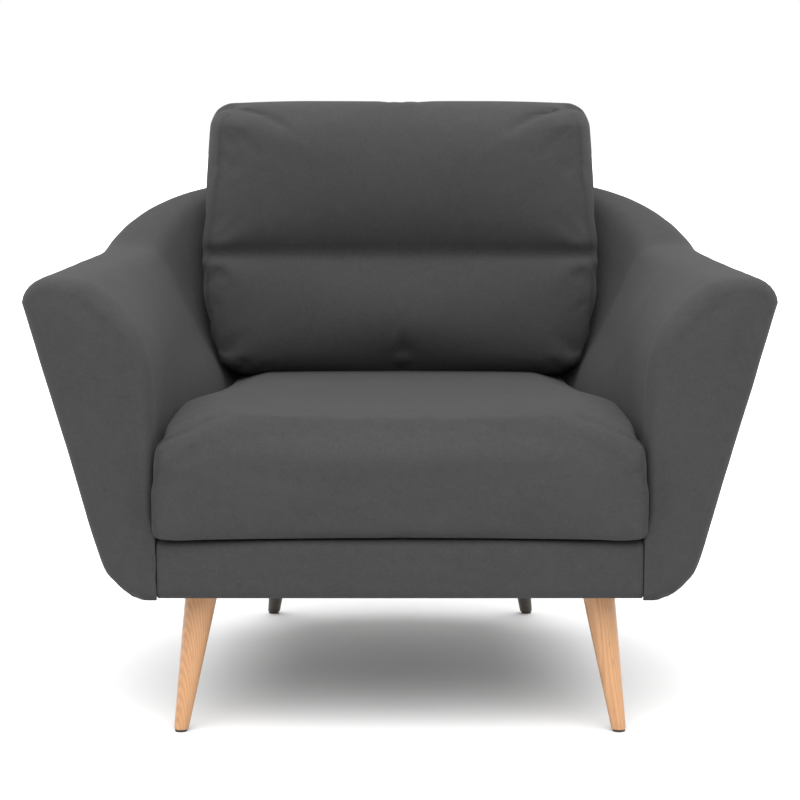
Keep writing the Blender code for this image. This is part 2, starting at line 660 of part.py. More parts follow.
def build_legs():
    """Four legs, each on a slanted hanger bolt through a screwed-on plate into its corner block."""
    for word, centre, splay in corner_blocks():
        lean = Vector((-splay.x, -splay.y, LEG_TOP)) / LEG_TOP
        foot = Vector((*centre, LEG_TOP))
        start = foot - lean * BOLT_IN_LEG
        end = foot + lean * (RAIL_BOTTOM - LEG_TOP + BOLT_IN_BLOCK)
        rod(f"hanger_bolt_{word}", start, end, BOLT_R, STEEL)
        slack = lean * 2 * FIT
        bore = helper(rod(f"bore_{word}", start - slack, end + slack, BOLT_R + BOLT_CLEAR, None, CUTTERS))
        boolean(turned_leg(f"leg_{word}", centre, splay), bore)
        half = PLATE_SIDE / 2
        low = (centre.x - half, centre.y - half, PLATE_BOTTOM)
        high = (centre.x + half, centre.y + half, PLATE_BOTTOM + PLATE_THICK)
        plate = box(f"leg_plate_{word}", low, high, STEEL)
        for x in (-1, 1):
            for y in (-1, 1):
                spot = (centre.x + x * (half - SCREW_INSET), centre.y + y * (half - SCREW_INSET))
                head = rod(
                    f"screw_{word}_{x}_{y}",
                    (*spot, PLATE_BOTTOM - SCREW_HEAD_THICK),
                    (*spot, PLATE_BOTTOM + PLATE_THICK / 2),
                    SCREW_HEAD_R,
                    None,
                    CUTTERS,
                    sides=12,
                )
                boolean(plate, helper(head), "UNION")
        boolean(plate, bore)
        half = BLOCK_SIDE / 2
        middle = centre if "front" in word else centre - centre.normalized() * REAR_BLOCK_SHIFT
        block_low = (middle.x - half, middle.y - half, RAIL_BOTTOM)
        block_high = (middle.x + half, middle.y + half, RAIL_BOTTOM + BLOCK_THICK)
        block = box(f"leg_block_{word}", block_low, block_high, TIMBER)
        rails = [bpy.data.objects[f"{word.split('_')[1]}_side_rail"]]
        rails.append(bpy.data.objects["front_rail" if "front" in word else "rear_rail"])
        for rail in rails:
            boolean(block, rail_clear(rail))
        boolean(block, bore)
        if "rear" in word:
            boolean(bpy.data.objects["rear_rail"], bore)
        tip = centre + splay
        rod(f"glide_{word}", (*tip, 0), (*tip, GLIDE_THICK), GLIDE_R, NYLON)
        BORES.append(bore)


BORES = []
CLEARS = {}


def rail_clear(rail):
    """A rail grown by the fit, to cut a corner block to its shape."""
    if rail.name not in CLEARS:
        grown = as_mesh_copy(rail, f"{rail.name}_clear")
        for vertex in grown.data.vertices:
            vertex.co += vertex.normal * FIT * 1.5
        CLEARS[rail.name] = helper(grown)
    return CLEARS[rail.name]


def as_mesh_copy(obj, name):
    """A welded copy of an object's finished shape, for cutting."""
    bpy.context.view_layer.update()
    graph = bpy.context.evaluated_depsgraph_get()
    mesh = bpy.data.meshes.new_from_object(obj.evaluated_get(graph))
    bm = bmesh.new()
    bm.from_mesh(mesh)
    bmesh.ops.remove_doubles(bm, verts=bm.verts, dist=1e-6)
    bm.normal_update()
    bm.to_mesh(mesh)
    bm.free()
    copy = bpy.data.objects.new(name, mesh)
    CUTTERS.objects.link(copy)
    copy.matrix_world = obj.matrix_world.copy()
    return copy


def build_suspension():
    """Zigzag springs from the front rail to the rear rail, a felt deck over them and a cloth under them."""
    front = FRONT_RAIL_Y + RAIL_THICK / 2
    for number in range(SPRING_COUNT):
        x = SPRING_SPAN * (number / (SPRING_COUNT - 1) - 0.5)
        reach = math.sqrt(1 - ((abs(x) + SPRING_HALF_WIDTH + SPRING_WIRE) / SEAT_HALF_REAR) ** 2)
        back = CORNER_Y + (SEAT_REAR_Y - CORNER_Y) * reach - 0.003
        pitch = (back - front) / SPRING_LOOPS
        path = []
        for loop in range(SPRING_LOOPS):
            side = 1 if loop % 2 else -1
            y = front + pitch * loop
            for along, out in ((0.12, 0.80), (0.30, 1.0), (0.70, 1.0), (0.88, 0.80)):
                path.append((x + side * out * SPRING_HALF_WIDTH, y + along * pitch))
        wire = bpy.data.curves.new(f"seat_spring_{number + 1}", "CURVE")
        wire.dimensions = "3D"
        wire.bevel_depth = SPRING_WIRE
        wire.bevel_resolution = 1
        wire.use_fill_caps = True
        spline = wire.splines.new("POLY")
        spline.points.add(len(path) - 1)
        for point, (px, py) in zip(spline.points, path):
            point.co = (px, py, SPRING_Z, 1)
        place(bpy.data.objects.new(wire.name, wire), STEEL)
    edge = -SEAM_GAP - CLOTH
    stops = [i / 4 for i in range(0, 17)]
    outline = [plan(FOOT_IN, u, edge) for u in stops]
    front_y = FRONT_RAIL_Y + BORDER_RISE + 2 * FIT
    outline[0].y = outline[-1].y = front_y
    outline_plate("seat_deck", outline, DECK_Z, DECK_THICK, FELT)
    outline = [plan(FOOT_IN, u, RAIL_THICK - RAIL_INSIDE - 0.004) for u in stops]
    outline[0].y = outline[-1].y = FRONT_RAIL_Y + 0.004
    outline[0].x = SEAT_HALF_FRONT - 0.004
    outline[-1].x = -outline[0].x
    bottom = RAIL_BOTTOM - FIT - DUST_THICK
    under = as_mesh(outline_plate("dust_cover", outline, bottom, DUST_THICK, BLACK_CLOTH))
    for bore in BORES:
        boolean(under, bore)


def fit_in_tub(point, gap):
    """Moves a cushion's point inward, to a gap inside the tub's inner wall at its height."""
    x, y, z = abs(point.x), point.y, point.z
    if y <= CORNER_Y:
        u = max(0.0, (y - FRONT_Y) / (CORNER_Y - FRONT_Y))
        foot, ridge = plan(FOOT_IN, u), plan(RIDGE_IN, u)
        limit = foot.lerp(ridge, wall_lean(u, z)).x - gap
        x = min(x, limit)
    else:
        turn = math.atan2((y - CORNER_Y) / (FOOT_IN.back_y - CORNER_Y), x / FOOT_IN.rear)
        u = 1 + turn * 2 / math.pi
        lean = wall_lean(u, z)
        across = FOOT_IN.rear + (RIDGE_IN.rear - FOOT_IN.rear) * lean - gap
        deep = FOOT_IN.back_y + (RIDGE_IN.back_y - FOOT_IN.back_y) * lean - gap - CORNER_Y
        reach = math.hypot(x / across, (y - CORNER_Y) / deep)
        if reach > 1:
            x /= reach
            y = CORNER_Y + (y - CORNER_Y) / reach
    return Vector((math.copysign(x, point.x), y, z))


def rounded(x, y, z, half, radii):
    """A point of a block, moved in to its rounded edges."""
    core = [max(-h + r, min(h - r, p)) for p, h, r in zip((x, y, z), half, radii)]
    away = Vector([(p - c) / r for p, c, r in zip((x, y, z), core, radii)])
    if away.length > 1e-9:
        away.normalize()
    return Vector([c + a * r for c, a, r in zip(core, away, radii)])


def round_pair(a, b, half_a, half_b, radius_a, radius_b):
    """Two coordinates of a point, moved in to a rounded corner between two faces."""
    core_a = max(radius_a - half_a, min(half_a - radius_a, a))
    core_b = max(radius_b - half_b, min(half_b - radius_b, b))
    away_a, away_b = (a - core_a) / radius_a, (b - core_b) / radius_b
    reach = max(1.0, math.hypot(away_a, away_b))
    return core_a + away_a / reach * radius_a, core_b + away_b / reach * radius_b


def rolled_half(along, half, radius, half_across, radius_across):
    """Half the width of a section with rounded corners, at a distance along it."""
    past = min(1.0, max(0.0, (abs(along) - half + radius) / radius))
    return half_across - radius_across * (1 - math.sqrt(1 - past * past))


def seat_shape(x, y, z):
    """The seat cushion: x, y and z run from -1 to 1 over its block. Its top rolls down over its front."""
    half = Vector((SEAT_HALF_FRONT, (SEAT_BACK_Y - SEAT_FRONT_Y) / 2, SEAT_THICK / 2))
    roll = SEAT_ROLL_DEPTH if y < 0 else SEAT_REAR_ROUND
    py, pz = round_pair(y * half.y, z * half.z, half.y, half.z, roll, SEAT_ROLL_HEIGHT)
    tall = rolled_half(py, half.y, roll, half.z, SEAT_ROLL_HEIGHT)
    px, pz = round_pair(x * half.x, pz, half.x, tall, SEAT_SIDE_ROUND, SEAT_SIDE_ROUND)
    deep = rolled_half(pz, half.z, SEAT_ROLL_HEIGHT, half.y, roll)
    px, py = round_pair(px, py, half.x, deep, SEAT_SIDE_ROUND, SEAT_SIDE_ROUND)
    point = Vector((px, py, pz + SEAT_CROWN * (1 - x**4) * (1 - y**4) * max(0, z)))
    across = point.x / half.x
    y = SEAT_FRONT_Y + point.y + half.y
    u = max(0.0, (y - FRONT_Y) / (CORNER_Y - FRONT_Y))
    wall = plan(FOOT_IN, min(u, 1.0)).x - CUSHION_GAP
    before_arm = min(FRONT_ROUND, max(0.0, FRONT_Y + FRONT_ROUND - 0.001 - y))
    lip = (FRONT_ROUND - math.sqrt(FRONT_ROUND**2 - before_arm**2)) * SEAT_LIP / FRONT_ROUND
    placed = Vector((across * (wall + lip), y, SEAT_Z + SEAT_THICK / 2 + point.z))
    return fit_in_tub(placed, CUSHION_GAP) if y > FRONT_Y + FRONT_ROUND else placed


def back_shape(x, y, z):
    """The back cushion: a lumbar lobe and an upper lobe, drawn in at the seam between them."""
    foot = BACK_FOOT
    height = BACK_CUSHION_TOP - foot
    half = Vector((BACK_CUSHION_HALF, BACK_CUSHION_DEPTH / 2, height / 2))
    radii = (0.040, 0.060 if y < 0 else 0.030, 0.050 if z > 0 else 0.034)
    point = rounded(x * half.x, y * half.y, z * half.z, half, radii)
    up = foot + half.z + point.z
    end = foot if up < BACK_SEAM else BACK_CUSHION_TOP
    lobe = max(0.0, min(1.0, (up - end) / (BACK_SEAM - end)))
    bulge = math.sin(math.pi * lobe**0.8) * (1 - x**4)
    seam = math.exp(-(((up - BACK_SEAM) / 0.016) ** 2))
    if y < 0:
        point.y -= -y * (BACK_BULGE * bulge - BACK_SEAM_DEPTH * seam)
    widths = ((foot, BACK_CUSHION_WIDTHS[0][1]), *BACK_CUSHION_WIDTHS[1:])
    for (z0, w0), (z1, w1) in zip(widths, widths[1:]):
        if z0 <= up <= z1:
            wide = w0 + (w1 - w0) * (up - z0) / (z1 - z0)
    point.x *= (wide - 0.004 * seam) / BACK_CUSHION_HALF
    y = BACK_CUSHION_FRONT + half.y + point.y + BACK_LEAN * (up - foot)
    return fit_in_tub(Vector((point.x, y, up)), CUSHION_GAP)


def cushion(name, lines, shape, finish, outer, inner=None, opening=None):
    """A cushion's cover or filling from a grid over a block's six faces.

    The block's faces are shaped and moved in by the depth outer. With a depth inner it is a skin, and opening
    tells which faces are left out of it."""
    bm = bmesh.new()
    corners, faces = {}, []
    for axis in range(3):
        others = [a for a in range(3) if a != axis]
        for end in (0, len(lines[axis]) - 1):
            for i in range(len(lines[others[0]]) - 1):
                for j in range(len(lines[others[1]]) - 1):
                    quad = []
                    for di, dj in ((0, 0), (1, 0), (1, 1), (0, 1)):
                        key = [0, 0, 0]
                        key[axis], key[others[0]], key[others[1]] = end, i + di, j + dj
                        quad.append(tuple(key))
                    faces.append(quad)
    for key in {key for quad in faces for key in quad}:
        corners[key] = bm.verts.new(shape(*(line[i] for line, i in zip(lines, key))))
    for quad in faces:
        bm.faces.new([corners[key] for key in quad])
    bmesh.ops.recalc_face_normals(bm, faces=bm.faces)
    bm.normal_update()
    normals = {key: vertex.normal.copy() for key, vertex in corners.items()}
    bmesh.ops.triangulate(bm, faces=bm.faces)
    key_of = {vertex: key for key, vertex in corners.items()}
    orders = [[key_of[vertex] for vertex in face.verts] for face in bm.faces]
    spots = {key: vertex.co.copy() for key, vertex in corners.items()}
    bm.free()
    bm = bmesh.new()
    kept = orders
    if opening:
        kept = [order for order in orders if not opening([middle(lines, order, a) for a in range(3)])]
    used = {key for order in kept for key in order}
    skin = {key: bm.verts.new(spots[key] - normals[key] * outer) for key in sorted(used)}
    for order in kept:
        bm.faces.new([skin[key] for key in order])
    if inner is not None:
        rim = [edge for edge in bm.edges if edge.is_boundary]
        back_key = {vertex: key for key, vertex in skin.items()}
        lining = {key: bm.verts.new(spots[key] - normals[key] * inner) for key in sorted(used)}
        for order in kept:
            bm.faces.new([lining[key] for key in order[::-1]])
        for edge in rim:
            start, end = edge.link_loops[0].vert, edge.link_loops[0].link_loop_next.vert
            bm.faces.new((end, start, lining[back_key[start]], lining[back_key[end]]))
    return mesh_object(name, bm, finish)


def middle(lines, order, axis):
    return sum(lines[axis][key[axis]] for key in order) / len(order)


def spaced(half, radius, count, extra=()):
    """Grid lines from -1 to 1: close together over the rounded ends, even between them."""
    flat = 1 - radius / half
    near = [flat + radius / half * math.tan(turn * math.pi / 4) for turn in (0.0, 0.5, 1.0)]
    even = [flat * (2 * i / count - 1) for i in range(1, count)]
    lines = [-v for v in near[::-1]] + even + near
    kept = [v for v in lines if all(abs(v - e) > 0.05 for e in extra)]
    return sorted(kept + list(extra))


def zip_with_slider(name, low, high, outward):
    """A zip's strip between two corners, and its slider and pull, which run along X on the outward side."""
    box(f"{name}_zip", low, high, BLACK_CLOTH)
    low, high = Vector(low), Vector(high)
    mid = (low + high) / 2
    start = Vector((low.x + SLIDER_LENGTH * 1.5, mid.y, mid.z))
    gap = (high - low) @ Vector((0, abs(outward.y), abs(outward.z))) / 2 + FIT
    body = start + outward * (gap + SLIDER_THICK / 2)
    half = Vector((SLIDER_LENGTH, SLIDER_HEIGHT, SLIDER_HEIGHT)) / 2
    half[1 if outward.y else 2] = SLIDER_THICK / 2
    slider = box(f"{name}_zip_slider", body - half, body + half, STEEL)
    pull_top = body + outward * (SLIDER_THICK / 2 - 0.0006) if outward.y else body
    pull_low = pull_top - Vector((0.003, 0.0006, PULL_LENGTH))
    pull = cutter_box(f"{name}_pull", pull_low, pull_top + Vector((0.003, 0.0006, 0)))
    boolean(slider, pull, "UNION")
    ring_low = pull_top - Vector((0.0045, 0.0006, PULL_LENGTH))
    tab = cutter_box(f"{name}_tab", ring_low, pull_top + Vector((0.0045, 0.0006, -PULL_LENGTH * 0.5)))
    boolean(slider, tab, "UNION")


def build_seat_cushion():
    """A loose cushion with rounded borders and a zip in its rear border."""
    half = ((SEAT_HALF_FRONT), (SEAT_BACK_Y - SEAT_FRONT_Y) / 2, SEAT_THICK / 2)
    wide = ZIP_LENGTH / 2 / (SEAT_HALF_REAR - CUSHION_GAP)
    tall = ZIP_HEIGHT / 2 / half[2]
    lines = (
        spaced(half[0], 0.022, 6, (-wide, wide)),
        spaced(half[1], 0.060, 8),
        spaced(half[2], 0.040, 2, (-tall, tall)),
    )

    def opening(spot):
        return abs(spot[0]) < wide and spot[1] > 0.999 and abs(spot[2]) < tall

    cushion("seat_cushion_cover", lines, seat_shape, CLOTH_GREY, 0.0, CUSHION_CLOTH, opening)
    cushion("seat_cushion_foam", lines, seat_shape, FOAM, CUSHION_CLOTH + FIT)
    low, high = seat_shape(-wide, 1, -tall), seat_shape(wide, 1, tall)
    fit = Vector((FIT, 0, FIT))
    low, high = low + fit, high - fit
    low.y -= CUSHION_CLOTH
    zip_with_slider("seat", low, high, Vector((0, 1, 0)))


def build_back_cushion():
    """A loose cushion in two lobes, each with its own filling, and a zip behind its lower edge."""
    foot = BACK_FOOT
    half = (BACK_CUSHION_HALF, BACK_CUSHION_DEPTH / 2, (BACK_CUSHION_TOP - foot) / 2)
    wide = ZIP_LENGTH / 2 / 0.268
    zip_y = 0.047 / half[1]
    deep = ZIP_HEIGHT / 2 / half[1]
    seam = (BACK_SEAM - foot) / half[2] - 1
    lines = (
        spaced(half[0], 0.040, 6, (-wide, wide)),
        spaced(half[1], 0.045, 2, (zip_y - deep, zip_y + deep)),
        spaced(half[2], 0.042, 8, tuple(seam + d / half[2] for d in (-0.024, -0.009, 0.0, 0.009, 0.024))),
    )

    def opening(spot):
        return abs(spot[0]) < wide and abs(spot[1] - zip_y) < deep and spot[2] < -0.999

    cushion("back_cushion_cover", lines, back_shape, CLOTH_GREY, 0.0, CUSHION_CLOTH, opening)
    for word, low, high in (("lower", 0.0, BACK_SEAM - FIT), ("upper", BACK_SEAM + FIT, 1.0)):
        name = f"back_cushion_{word}_fill"
        filling = cushion(name, lines, back_shape, WADDING_WHITE, CUSHION_CLOTH + 0.0015)
        boolean(filling, cutter_box(f"{word}_lobe", (-1, -1, low), (1, 1, high)), "INTERSECT")
    low, high = back_shape(-wide, zip_y - deep, -1), back_shape(wide, zip_y + deep, -1)
    fit = Vector((FIT, FIT, 0))
    low, high = low + fit, high - fit
    zip_with_slider("back", low, (high.x, high.y, high.z + CUSHION_CLOTH), Vector((0, 0, -1)))


build_padding()
build_body_frame()
build_seat_frame()
build_front_border()
build_legs()
build_suspension()
build_seat_cushion()
build_back_cushion()
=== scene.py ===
import math

import bpy
import numpy as np
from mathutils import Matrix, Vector, kdtree, noise


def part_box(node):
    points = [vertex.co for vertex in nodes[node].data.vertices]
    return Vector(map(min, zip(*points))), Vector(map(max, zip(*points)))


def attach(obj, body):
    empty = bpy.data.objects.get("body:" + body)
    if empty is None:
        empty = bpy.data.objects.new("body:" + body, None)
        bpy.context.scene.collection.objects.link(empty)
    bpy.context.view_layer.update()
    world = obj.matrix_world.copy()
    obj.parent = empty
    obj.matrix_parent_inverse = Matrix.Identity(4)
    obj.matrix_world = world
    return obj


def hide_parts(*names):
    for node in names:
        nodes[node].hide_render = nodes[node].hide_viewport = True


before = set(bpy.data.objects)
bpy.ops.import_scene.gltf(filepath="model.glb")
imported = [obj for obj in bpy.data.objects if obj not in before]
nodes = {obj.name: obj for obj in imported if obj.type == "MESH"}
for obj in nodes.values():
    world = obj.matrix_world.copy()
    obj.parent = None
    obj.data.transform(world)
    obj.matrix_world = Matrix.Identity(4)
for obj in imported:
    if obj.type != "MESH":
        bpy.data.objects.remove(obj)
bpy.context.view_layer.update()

# Seat frame: four rails and four leg blocks of planed beech, dowelled and glued at the corners.
# They stay under the padding, so the wood is left raw, with its open grain.
RAW_BEECH = ((0.34, 0.215, 0.115), (0.56, 0.40, 0.245))


def new_group(name, inputs, outputs):
    """An empty node group with named sockets."""
    made = bpy.data.node_groups.new(name, "ShaderNodeTree")
    for label, kind, value in inputs:
        socket = made.interface.new_socket(label, in_out="INPUT", socket_type=kind)
        if value is not None:
            socket.default_value = value
    for label, kind in outputs:
        made.interface.new_socket(label, in_out="OUTPUT", socket_type=kind)
    return made, made.nodes.new("NodeGroupInput").outputs, made.nodes.new("NodeGroupOutput").inputs


def node(tree, kind, inputs=(), **settings):
    """Adds a node, sets it up and joins or fills its inputs. Returns it."""
    made = tree.nodes.new(kind)
    for key, value in settings.items():
        setattr(made, key, value)
    for key, value in dict(inputs).items():
        if isinstance(value, bpy.types.NodeSocket):
            tree.links.new(value, made.inputs[key])
        else:
            made.inputs[key].default_value = value
    return made


def noisy(tree, place, scale, detail, **more):
    """The value of a noise texture at a place."""
    made = node(tree, "ShaderNodeTexNoise", {"Vector": place, "Scale": scale, "Detail": detail, **more})
    return made.outputs["Fac"]


def sums(tree, operation, first, second=0.0, third=0.0):
    """The result of one sum on numbers or sockets."""
    return node(tree, "ShaderNodeMath", {0: first, 1: second, 2: third}, operation=operation).outputs[0]


def mixed(tree, share, first, second, blend="MIX"):
    """Mixes two colours. Sockets 0, 6 and 7 are the share and the two colours."""
    inputs = {0: share, 6: first, 7: second}
    return node(tree, "ShaderNodeMix", inputs, data_type="RGBA", blend_type=blend).outputs[2]


def ramp(tree, value, *stops):
    """A smooth step or a run of greys between stops of (place, grey)."""
    made = node(tree, "ShaderNodeValToRGB", {"Fac": value})
    while len(made.color_ramp.elements) < len(stops):
        made.color_ramp.elements.new(0.5)
    for element, (place, grey) in zip(made.color_ramp.elements, stops):
        element.position = place
        element.color = (grey, grey, grey, 1)
    return made.outputs[0]


wood_group, take, give = new_group(
    "wood_grain",
    [
        ("Along Grain", "NodeSocketVector", None),
        ("Early Wood", "NodeSocketColor", None),
        ("Late Wood", "NodeSocketColor", None),
        ("Ring Width", "NodeSocketFloat", 0.006),
        ("Shine", "NodeSocketFloat", 0.5),
    ],
    [("Color", "NodeSocketColor"), ("Roughness", "NodeSocketFloat"), ("Height", "NodeSocketFloat")],
)
tree = wood_group
wander = noisy(tree, take["Along Grain"], 9.0, 2.0)
across = node(tree, "ShaderNodeSeparateXYZ", {"Vector": take["Along Grain"]})
radius = sums(tree, "ADD", across.outputs["X"], across.outputs["Y"])
bent = sums(tree, "ADD", radius, sums(tree, "MULTIPLY", wander, 0.055))
rings = sums(tree, "SINE", sums(tree, "MULTIPLY", sums(tree, "DIVIDE", bent, take["Ring Width"]), 6.283))
rings = sums(tree, "MULTIPLY_ADD", rings, 0.5, 0.5)
fibre = noisy(tree, take["Along Grain"], 900.0, 4.0)
fleck = noisy(tree, take["Along Grain"], 330.0, 2.0)
flecks = ramp(tree, fleck, (0.60, 0.0), (0.68, 1.0))
board = noisy(tree, take["Along Grain"], 14.0, 3.0)
share = sums(tree, "MULTIPLY_ADD", rings, 0.45, sums(tree, "MULTIPLY", board, 0.45))
share = sums(tree, "ADD", share, sums(tree, "MULTIPLY", fibre, 0.18))
tone = mixed(tree, share, take["Early Wood"], take["Late Wood"])
dark = sums(tree, "MULTIPLY", flecks, 0.30)
tree.links.new(mixed(tree, dark, tone, (0.22, 0.12, 0.055, 1)), give["Color"])
rough = sums(tree, "MULTIPLY_ADD", fibre, 0.16, take["Shine"])
tree.links.new(sums(tree, "ADD", rough, sums(tree, "MULTIPLY", flecks, 0.08)), give["Roughness"])
grooves = sums(tree, "SUBTRACT", fibre, sums(tree, "MULTIPLY", flecks, 0.5))
tree.links.new(sums(tree, "ADD", grooves, sums(tree, "MULTIPLY", rings, 0.15)), give["Height"])


def new_finish(name):
    """A material with its tree and its shader."""
    finish = bpy.data.materials.new(name)
    finish.use_nodes = True
    return finish, finish.node_tree, finish.node_tree.nodes["Principled BSDF"]


def bumped(tree, shader, height, strength, distance):
    """Joins a bump to a shader."""
    made = node(tree, "ShaderNodeBump", {"Height": height, "Strength": strength, "Distance": distance})
    tree.links.new(made.outputs[0], shader.inputs["Normal"])


def wood(name, colours, stretch, ring_width, shine, coat=0.0):
    """Timber whose grain runs along the axis that stretch makes slow."""
    finish, tree, shader = new_finish(name)
    place = node(tree, "ShaderNodeTexCoord").outputs["Object"]
    along = node(tree, "ShaderNodeMapping", {"Vector": place, "Scale": stretch})
    grain = node(tree, "ShaderNodeGroup", node_tree=wood_group)
    tree.links.new(along.outputs[0], grain.inputs["Along Grain"])
    grain.inputs["Early Wood"].default_value = (*colours[0], 1)
    grain.inputs["Late Wood"].default_value = (*colours[1], 1)
    grain.inputs["Ring Width"].default_value = ring_width
    grain.inputs["Shine"].default_value = shine
    tree.links.new(grain.outputs["Color"], shader.inputs["Base Color"])
    tree.links.new(grain.outputs["Roughness"], shader.inputs["Roughness"])
    shader.inputs["Coat Weight"].default_value = coat
    shader.inputs["Coat Roughness"].default_value = 0.35
    shader.inputs["IOR"].default_value = 1.47
    bumped(tree, shader, grain.outputs["Height"], 0.35, 0.0002)
    return finish


def finished(names, finish):
    """Gives CAD nodes their finish."""
    for name in names:
        nodes[name].data.materials.clear()
        nodes[name].data.materials.append(finish)


rail_across = wood("raw_beech_across", RAW_BEECH, (0.07, 1, 1), 0.0045, 0.62)
rail_along = wood("raw_beech_along", RAW_BEECH, (1, 0.07, 1), 0.0045, 0.62)
finished(["front_rail", "rear_rail"], rail_across)
finished(["left_side_rail", "right_side_rail"], rail_along)
corners = ["front_left", "front_right", "rear_left", "rear_right"]
finished([f"leg_block_{corner}" for corner in corners], rail_across)

# Body frame: boards of 18 mm birch plywood that hold up the arms and the back, glued and stapled to
# the rails. Their plies show at the cut edges.
BIRCH = ((0.50, 0.36, 0.215), (0.66, 0.51, 0.335))
birch, tree, shader = new_finish("birch_plywood")
place = node(tree, "ShaderNodeTexCoord").outputs["Object"]
along = node(tree, "ShaderNodeMapping", {"Vector": place, "Scale": (1, 0.9, 0.10)})
grain = node(tree, "ShaderNodeGroup", node_tree=wood_group)
tree.links.new(along.outputs[0], grain.inputs["Along Grain"])
grain.inputs["Early Wood"].default_value = (*BIRCH[0], 1)
grain.inputs["Late Wood"].default_value = (*BIRCH[1], 1)
grain.inputs["Ring Width"].default_value = 0.013
grain.inputs["Shine"].default_value = 0.58
plies = node(tree, "ShaderNodeSeparateXYZ", {"Vector": place}).outputs["Y"]
plies = sums(tree, "SINE", sums(tree, "MULTIPLY", plies, 6.283 / 0.0028))
plies = ramp(tree, sums(tree, "MULTIPLY_ADD", plies, 0.5, 0.5), (0.35, 0.0), (0.65, 1.0))
normal = node(tree, "ShaderNodeNewGeometry").outputs["Normal"]
facing = node(tree, "ShaderNodeSeparateXYZ", {"Vector": normal})
edge = sums(tree, "SUBTRACT", 1.0, sums(tree, "ABSOLUTE", facing.outputs["Y"]))
edge = sums(tree, "MULTIPLY", sums(tree, "GREATER_THAN", edge, 0.5), sums(tree, "MULTIPLY", plies, 0.55))
tone = mixed(tree, edge, grain.outputs["Color"], (0.27, 0.165, 0.085, 1))
tree.links.new(tone, shader.inputs["Base Color"])
tree.links.new(grain.outputs["Roughness"], shader.inputs["Roughness"])
bumped(tree, shader, grain.outputs["Height"], 0.3, 0.0002)
boards = [f"{side}_{part}_board" for side in ("left", "right") for part in ("arm_front", "arm_top", "wing")]
finished([*boards, "back_top_board"], birch)

# Steel: zigzag seat springs clipped to the rails, the screwed-on leg plates and the hanger bolts, all
# zinc plated, with the cloudy bloom and fine scratches of barrel plating.
zinc, tree, shader = new_finish("zinc_plated_steel")
place = node(tree, "ShaderNodeTexCoord").outputs["Object"]
bloom = noisy(tree, place, 120.0, 4.0)
stretched = {"Vector": place, "Rotation": (0.3, 0.2, 0.7), "Scale": (40, 900, 900)}
scratch = node(tree, "ShaderNodeMapping", stretched)
scratches = noisy(tree, scratch.outputs[0], 1.0, 2.0)
tone = mixed(tree, bloom, (0.47, 0.475, 0.49, 1), (0.66, 0.665, 0.68, 1))
tree.links.new(tone, shader.inputs["Base Color"])
worn = sums(tree, "MULTIPLY_ADD", bloom, 0.22, 0.22)
worn = sums(tree, "ADD", worn, sums(tree, "MULTIPLY", scratches, 0.12))
tree.links.new(worn, shader.inputs["Roughness"])
shader.inputs["Metallic"].default_value = 1.0
bumped(tree, shader, scratches, 0.15, 0.0001)
steel = [f"seat_spring_{number}" for number in range(1, 6)]
steel += [f"{part}_{corner}" for part in ("leg_plate", "hanger_bolt") for corner in corners]
finished(steel, zinc)

# Legs: four straight round legs turned in beech, the front pair oiled and the rear pair darkened to near
# black as painted shade under the chair, wide at the plate, slim at the floor and splayed outward. Each
# screws onto its hanger bolt and stands on a nailed-in nylon glide.
LEG_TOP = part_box("leg_front_left")[1].z
LEG_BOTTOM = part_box("leg_front_left")[0].z
LEG_TOP_R = 0.0233
LEG_FOOT_R = 0.0102
LEG_PLACES = {
    "front_left": ((-0.280, -0.343), (-0.028, -0.044)),
    "front_right": ((0.280, -0.343), (0.028, -0.044)),
    "rear_left": ((-0.190, 0.262), (-0.028, 0.074)),
    "rear_right": ((0.190, 0.262), (0.028, 0.074)),
}
OILED_BEECH = ((0.33, 0.155, 0.066), (0.49, 0.270, 0.128))  # the front pair
# The rear pair's near-black tones are painted shade: the shadow under the chair put into the wood's colour.
PAINTED_SHADE_BEECH = ((0.020, 0.015, 0.009), (0.042, 0.031, 0.019))  # the rear pair


def begin_edit(obj, kind):
    """Opens a piece in edit mode with nothing selected."""
    bpy.ops.object.mode_set(mode="EDIT")
    bpy.ops.mesh.select_mode(type=kind)
    bpy.ops.mesh.select_all(action="DESELECT")
    bpy.ops.object.mode_set(mode="OBJECT")


def select_where(obj, test, kind="vertices"):
    """Selects the vertices, edges or faces that pass a test, and opens edit mode."""
    for part in getattr(obj.data, kind):
        part.select = bool(test(part))
    bpy.ops.object.mode_set(mode="EDIT")


def apply_all(obj):
    """Applies a piece's modifiers and its place."""
    bpy.ops.object.select_all(action="DESELECT")
    bpy.context.view_layer.objects.active = obj
    obj.select_set(True)
    for modifier in list(obj.modifiers):
        bpy.ops.object.modifier_apply(modifier=modifier.name)
    bpy.ops.object.transform_apply(location=True, rotation=True, scale=True)


bpy.ops.object.select_all(action="DESELECT")
length = LEG_TOP - LEG_BOTTOM
bpy.ops.mesh.primitive_cylinder_add(
    vertices=64,
    radius=LEG_TOP_R,
    depth=length,
    end_fill_type="NGON",
    location=(0, 0, LEG_BOTTOM + length / 2),
)
turned_leg = bpy.context.object
apply_all(turned_leg)
begin_edit(turned_leg, "VERT")
select_where(turned_leg, lambda v: v.co.z < LEG_BOTTOM + length / 2)
narrow = LEG_FOOT_R / LEG_TOP_R
bpy.ops.transform.resize(value=(narrow, narrow, 1), center_override=(0, 0, LEG_BOTTOM))
bpy.ops.object.mode_set(mode="OBJECT")
begin_edit(turned_leg, "EDGE")
heights = [v.co.z for v in turned_leg.data.vertices]
select_where(turned_leg, lambda e: abs(heights[e.vertices[0]] - heights[e.vertices[1]]) < 0.001, "edges")
bpy.ops.mesh.bevel(offset=0.0014, segments=3, profile=0.5)
bpy.ops.object.mode_set(mode="OBJECT")
begin_edit(turned_leg, "VERT")
bpy.ops.object.mode_set(mode="EDIT")
